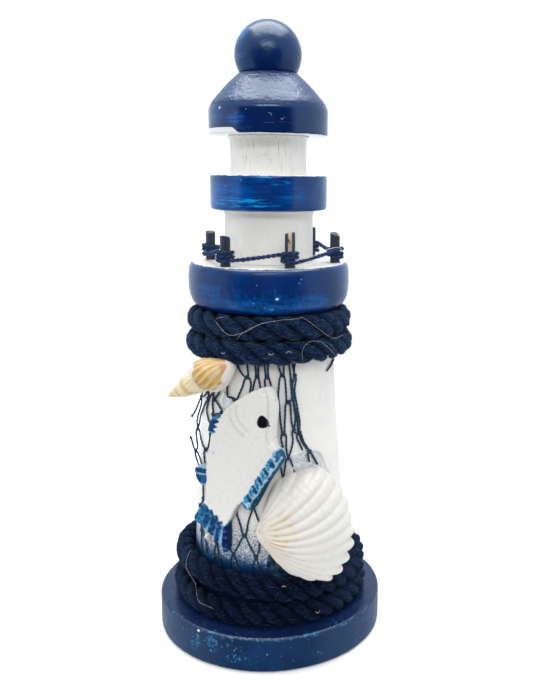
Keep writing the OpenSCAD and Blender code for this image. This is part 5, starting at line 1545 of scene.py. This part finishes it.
def puddle(soup, az, zc, ru, rv, hgt, seed, turn=0.0):
    """A flattened blob lying on the tower side."""
    nr, nt = 22, 72
    th = np.arange(nt) * 2 * math.pi / nt
    rim = 1 + 0.16 * fbm(np.stack([np.cos(th) * 1.3, np.sin(th) * 1.3, th * 0 + seed], -1), 3, seed)
    rho = np.linspace(0.02, 1, nr)
    R, T = np.meshgrid(rho, th, indexing="ij")
    uu, vv = R * rim * ru * np.cos(T), R * rim * rv * np.sin(T)
    c, s = math.cos(turn), math.sin(turn)
    uu, vv = uu * c - vv * s, uu * s + vv * c
    z = zc + vv
    rad = tower_r(z)
    aa = az + np.degrees(uu / rad)
    ht = hgt * np.sqrt(np.clip(1 - R ** 2.4, 0, 1)) * (1 + 0.35 * fbm(np.stack([uu * 0.5, vv * 0.5, uu * 0 + seed], -1), 2, seed + 4))
    top = polar(rad + np.maximum(ht, 0) + 0.02, aa, z)
    bot = polar(rad - 0.10, aa, z)
    v = np.concatenate([top.reshape(-1, 3), bot.reshape(-1, 3), [top[0].mean(0), bot[0].mean(0)]])
    n = nr * nt
    g = grid_faces(nr, nt)
    f = [tuple(reversed(q)) for q in g] + [tuple(n + i for i in q) for q in g]
    o = (nr - 1) * nt
    f += [(o + j, n + o + j, n + o + (j + 1) % nt, o + (j + 1) % nt) for j in range(nt)]
    f += [(2 * n, j, (j + 1) % nt) for j in range(nt)] + [(2 * n + 1, n + (j + 1) % nt, n + j) for j in range(nt)]
    f = [tuple(reversed(q)) for q in f]
    soup.add(v, f)


def blob(soup, c, rad, seed, basis=None, rough=0.2):
    nu, nv = 40, 26
    u = np.arange(nu) * 2 * math.pi / nu
    v = np.linspace(0.08, math.pi - 0.08, nv)
    Vv, U = np.meshgrid(v, u, indexing="ij")
    d = np.stack([np.sin(Vv) * np.cos(U), np.sin(Vv) * np.sin(U), np.cos(Vv)], -1)
    k = 1 + rough * fbm(d * 1.3 + seed, 3, seed)
    P = d * k[..., None] * np.asarray(rad)
    if basis is not None:
        P = P @ np.asarray(basis).T
    P = P + c
    verts = np.concatenate([P.reshape(-1, 3), [P[0].mean(0), P[-1].mean(0)]])
    f = [tuple(reversed(q)) for q in grid_faces(nv, nu)]
    n = nu * nv
    f += [(n, j, (j + 1) % nu) for j in range(nu)] + [(n + 1, (nv - 1) * nu + (j + 1) % nu, (nv - 1) * nu + j) for j in range(nu)]
    soup.add(verts, f)


def tower_basis(az):
    a = math.radians(az)
    return np.array([[math.cos(a), math.sin(a), 0], [math.sin(a), -math.cos(a), 0], [0, 0, 1.0]]).T


g = Soup()
blob(g, polar(tower_r(65) + 0.2, -22, 65), (1.4, 1.0, 3.6), 2, tower_basis(-22))
blob(g, polar(tower_r(49) + 0.2, -22, 49), (1.4, 1.0, 3.6), 3, tower_basis(-22))
puddle(g, -33.5, 76.6, 2.9, 2.6, 0.45, 5)
blob(g, polar(tower_r(33.4) + 0.8, -47.5, 33.4), (1.0, 1.0, 1.2), 7, tower_basis(-47))
build_soup("fish_glue_beads", g, GLUE, node="fish_glue", slot="glue")
g = Soup()
blob(g, polar(tower_r(81.5) + 1.2, -44, 81.5), (2.0, 1.9, 1.7), 9, tower_basis(-44))
build_soup("whelk_glue_bead", g, GLUE, node="whelk_glue", slot="glue")
m = Mat("glue_clear")
n1 = m.noise(0.8, 4, 0.6)
n2 = m.noise(2.6, 3, 0.6)
x, y, z = m.xyz()
# painted shade: the film is greyer and less clear where it turns away to the right, past a bearing of about 40 degrees
turn = m.step(m.math("ARCTAN2", x, m.mul(y, -1.0)), 0.62, 0.82)
col = m.mix(m.step(n1, 0.35, 0.7), (0.70, 0.72, 0.725), (0.84, 0.855, 0.86))
col = m.mix(m.mul(turn, 0.8), col, (0.40, 0.41, 0.415))
m.set(Base_Color=col, Roughness=m.step(n1, 0.3, 0.7, 0.24, 0.40), Normal=m.bump(n1, 0.12, 0.15), Transmission_Weight=m.mul(m.step(n1, 0.35, 0.75, 0.84, 0.66), m.step(turn, 0.0, 1.0, 1.0, 0.45)))
m.b.inputs["IOR"].default_value = 1.40
m.b.inputs["Specular IOR Level"].default_value = 0.12
CLEAR = m.m
m = Mat("glue_over_navy")
n1 = m.noise(0.8, 4, 0.6)
col = m.mix(m.step(n1, 0.40, 0.68), (0.006, 0.034, 0.080), (0.060, 0.130, 0.190))
m.set(Base_Color=col, Roughness=m.step(n1, 0.3, 0.7, 0.14, 0.26), Normal=m.bump(n1, 0.20, 0.15), Transmission_Weight=m.step(n1, 0.35, 0.75, 0.45, 0.25))
m.b.inputs["IOR"].default_value = 1.45
m.b.inputs["Specular IOR Level"].default_value = 0.35
DIM = m.m


def film(soup, outline, hgt, seed):
    """A thin skin on the tower side bounded by (bearing, level) corners, thicker along its rim."""
    line = spline([np.array([a, z]) for a, z in outline + outline[:1]], 0.8)[:-1]
    mid = line.mean(0)
    nr, nt = 18, len(line)
    rho = np.linspace(0.03, 1, nr)
    A = mid[0] + rho[:, None] * (line[:, 0] - mid[0])[None]
    Z = mid[1] + rho[:, None] * (line[:, 1] - mid[1])[None]
    rad = tower_r(Z)
    edge = np.exp(-((rho - 0.95) / 0.05) ** 2)[:, None]
    ht = hgt * (0.55 + 0.30 * fbm(np.stack([A * 0.12, Z * 0.4, A * 0 + seed], -1), 2, seed) + 0.6 * edge)
    ht = np.maximum(ht, 0.08)
    ht[-1] = 0.03
    top, bot = polar(rad + ht, A, Z), polar(rad - 0.06, A, Z)
    v = np.concatenate([top.reshape(-1, 3), bot.reshape(-1, 3), [top[0].mean(0), bot[0].mean(0)]])
    n = nr * nt
    g = grid_faces(nr, nt)
    f = [tuple(reversed(q)) for q in g] + [tuple(n + i for i in q) for q in g]
    o = (nr - 1) * nt
    f += [(o + j, n + o + j, n + o + (j + 1) % nt, o + (j + 1) % nt) for j in range(nt)]
    f += [(2 * n, j, (j + 1) % nt) for j in range(nt)] + [(2 * n + 1, n + (j + 1) % nt, n + j) for j in range(nt)]
    area2 = np.sum(line[:, 0] * np.roll(line[:, 1], -1) - np.roll(line[:, 0], -1) * line[:, 1])
    soup.add(v, f if area2 < 0 else [tuple(reversed(q)) for q in f])


g = Soup()
film(g, [(15.7, 58.6), (18.1, 60.0), (22, 61.2), (28.1, 61.9), (38.3, 61.9), (44, 61.4), (47.9, 60.5), (50.6, 59.2), (52.9, 57.3), (56, 54.4), (60.2, 52.1), (50, 51.0), (38, 53.0), (26, 54.5), (17, 55.6)], 0.20, 11)
build_soup("cockle_glue_film", g, CLEAR, slot="glue")
g = Soup()
film(g, [(1.2, 28.0), (2.5, 31.0), (6.8, 32.4), (11, 31.4), (14.5, 29.4), (22.4, 25.4), (25.3, 22.6), (15.1, 22.8), (5.3, 25.3)], 0.75, 19)
build_soup("cockle_glue_foot", g, DIM, slot="glue")
g = Soup()
puddle(g, 19.5, 56.6, 3.0, 2.2, 0.65, 13, 0.4)
place = rot("Z", 11.4) @ rot("X", 75)
blob(g, polar(float(tower_r(41.9)) + 3.9, 26, 41.9) + place @ np.array([-3.5, 2.5, 0.0]), (5.0, 5.0, 4.6), 15, place, 0.10)
for k, line in enumerate((
        [(-34.4, 101.2, 24.9), (-23.0, 97.8, 25.4), (-14.3, 98.2, 25.3), (0.3, 101.2, 25.0), (22.3, 102.4, 24.8), (28.6, 102.0, 24.9), (48.4, 96.0, 25.4), (64.7, 95.6, 25.4)],
        [(-33.9, 101.4, 25.0), (-30.0, 102.1, 25.0), (-24.9, 102.5, 24.9)],
        [(-16.7, 96.4, 25.5), (-13.4, 98.3, 25.4), (-4.0, 100.6, 25.1), (7.6, 102.1, 24.9)],
        [(25.5, 90.5, 25.8), (25.2, 93.3, 25.7), (30.6, 95.5, 25.4), (40.2, 94.9, 25.5), (53.3, 90.1, 25.8)],
        [(-58.5, 28.0, 27.0), (-57.0, 27.5, 28.6), (-52.5, 24.2, 30.6), (-43.3, 21.0, 30.7), (-39.7, 16.0, 31.0), (-27.7, 15.5, 31.1)],
        [(26.0, 118.6, 23.0), (35, 119.2, 22.9), (44, 120.6, 23.8), (56, 121.4, 23.6), (70, 120.9, 22.6), (80, 119.8, 22.3)])):
    p = spline([polar(r, a, z) for a, z, r in line], 0.3)
    p = p + 0.10 * np.stack([fbm(np.stack([np.arange(len(p)) * 0.07, p[:, 0] * 0 + 5 * k, p[:, 0] * 0 + c], -1), 2, 40 + c) for c in range(3)], -1)
    tube(g, p, (0.035, 0.033, 0.035, 0.033, 0.028, 0.080)[k], 6, taper=1.0)
# curls of lint caught in the ropes
for k, (az, z, r, way) in enumerate(((-27.0, 92.5, 25.2, -1), (5.2, 93.1, 25.5, -1), (16.5, 92.6, 25.5, 1), (11.5, 24.0, 30.3, 1), (31.0, 14.9, 31.0, -1))):
    th = np.linspace(0.1, math.pi - 0.1, 12)
    size = 0.62 + 0.1 * k % 0.3
    p = np.array([polar(r + 0.15 * math.sin(t), az + math.degrees(size * math.cos(t) / r), z + way * size * 0.8 * math.sin(t)) for t in th])
    tube(g, p, 0.07, 6, taper=0.3)
g.a.clear()
build_soup("cockle_glue_mass", g, GLUE, node="cockle_glue", slot="glue")

bpy.context.view_layer.update()
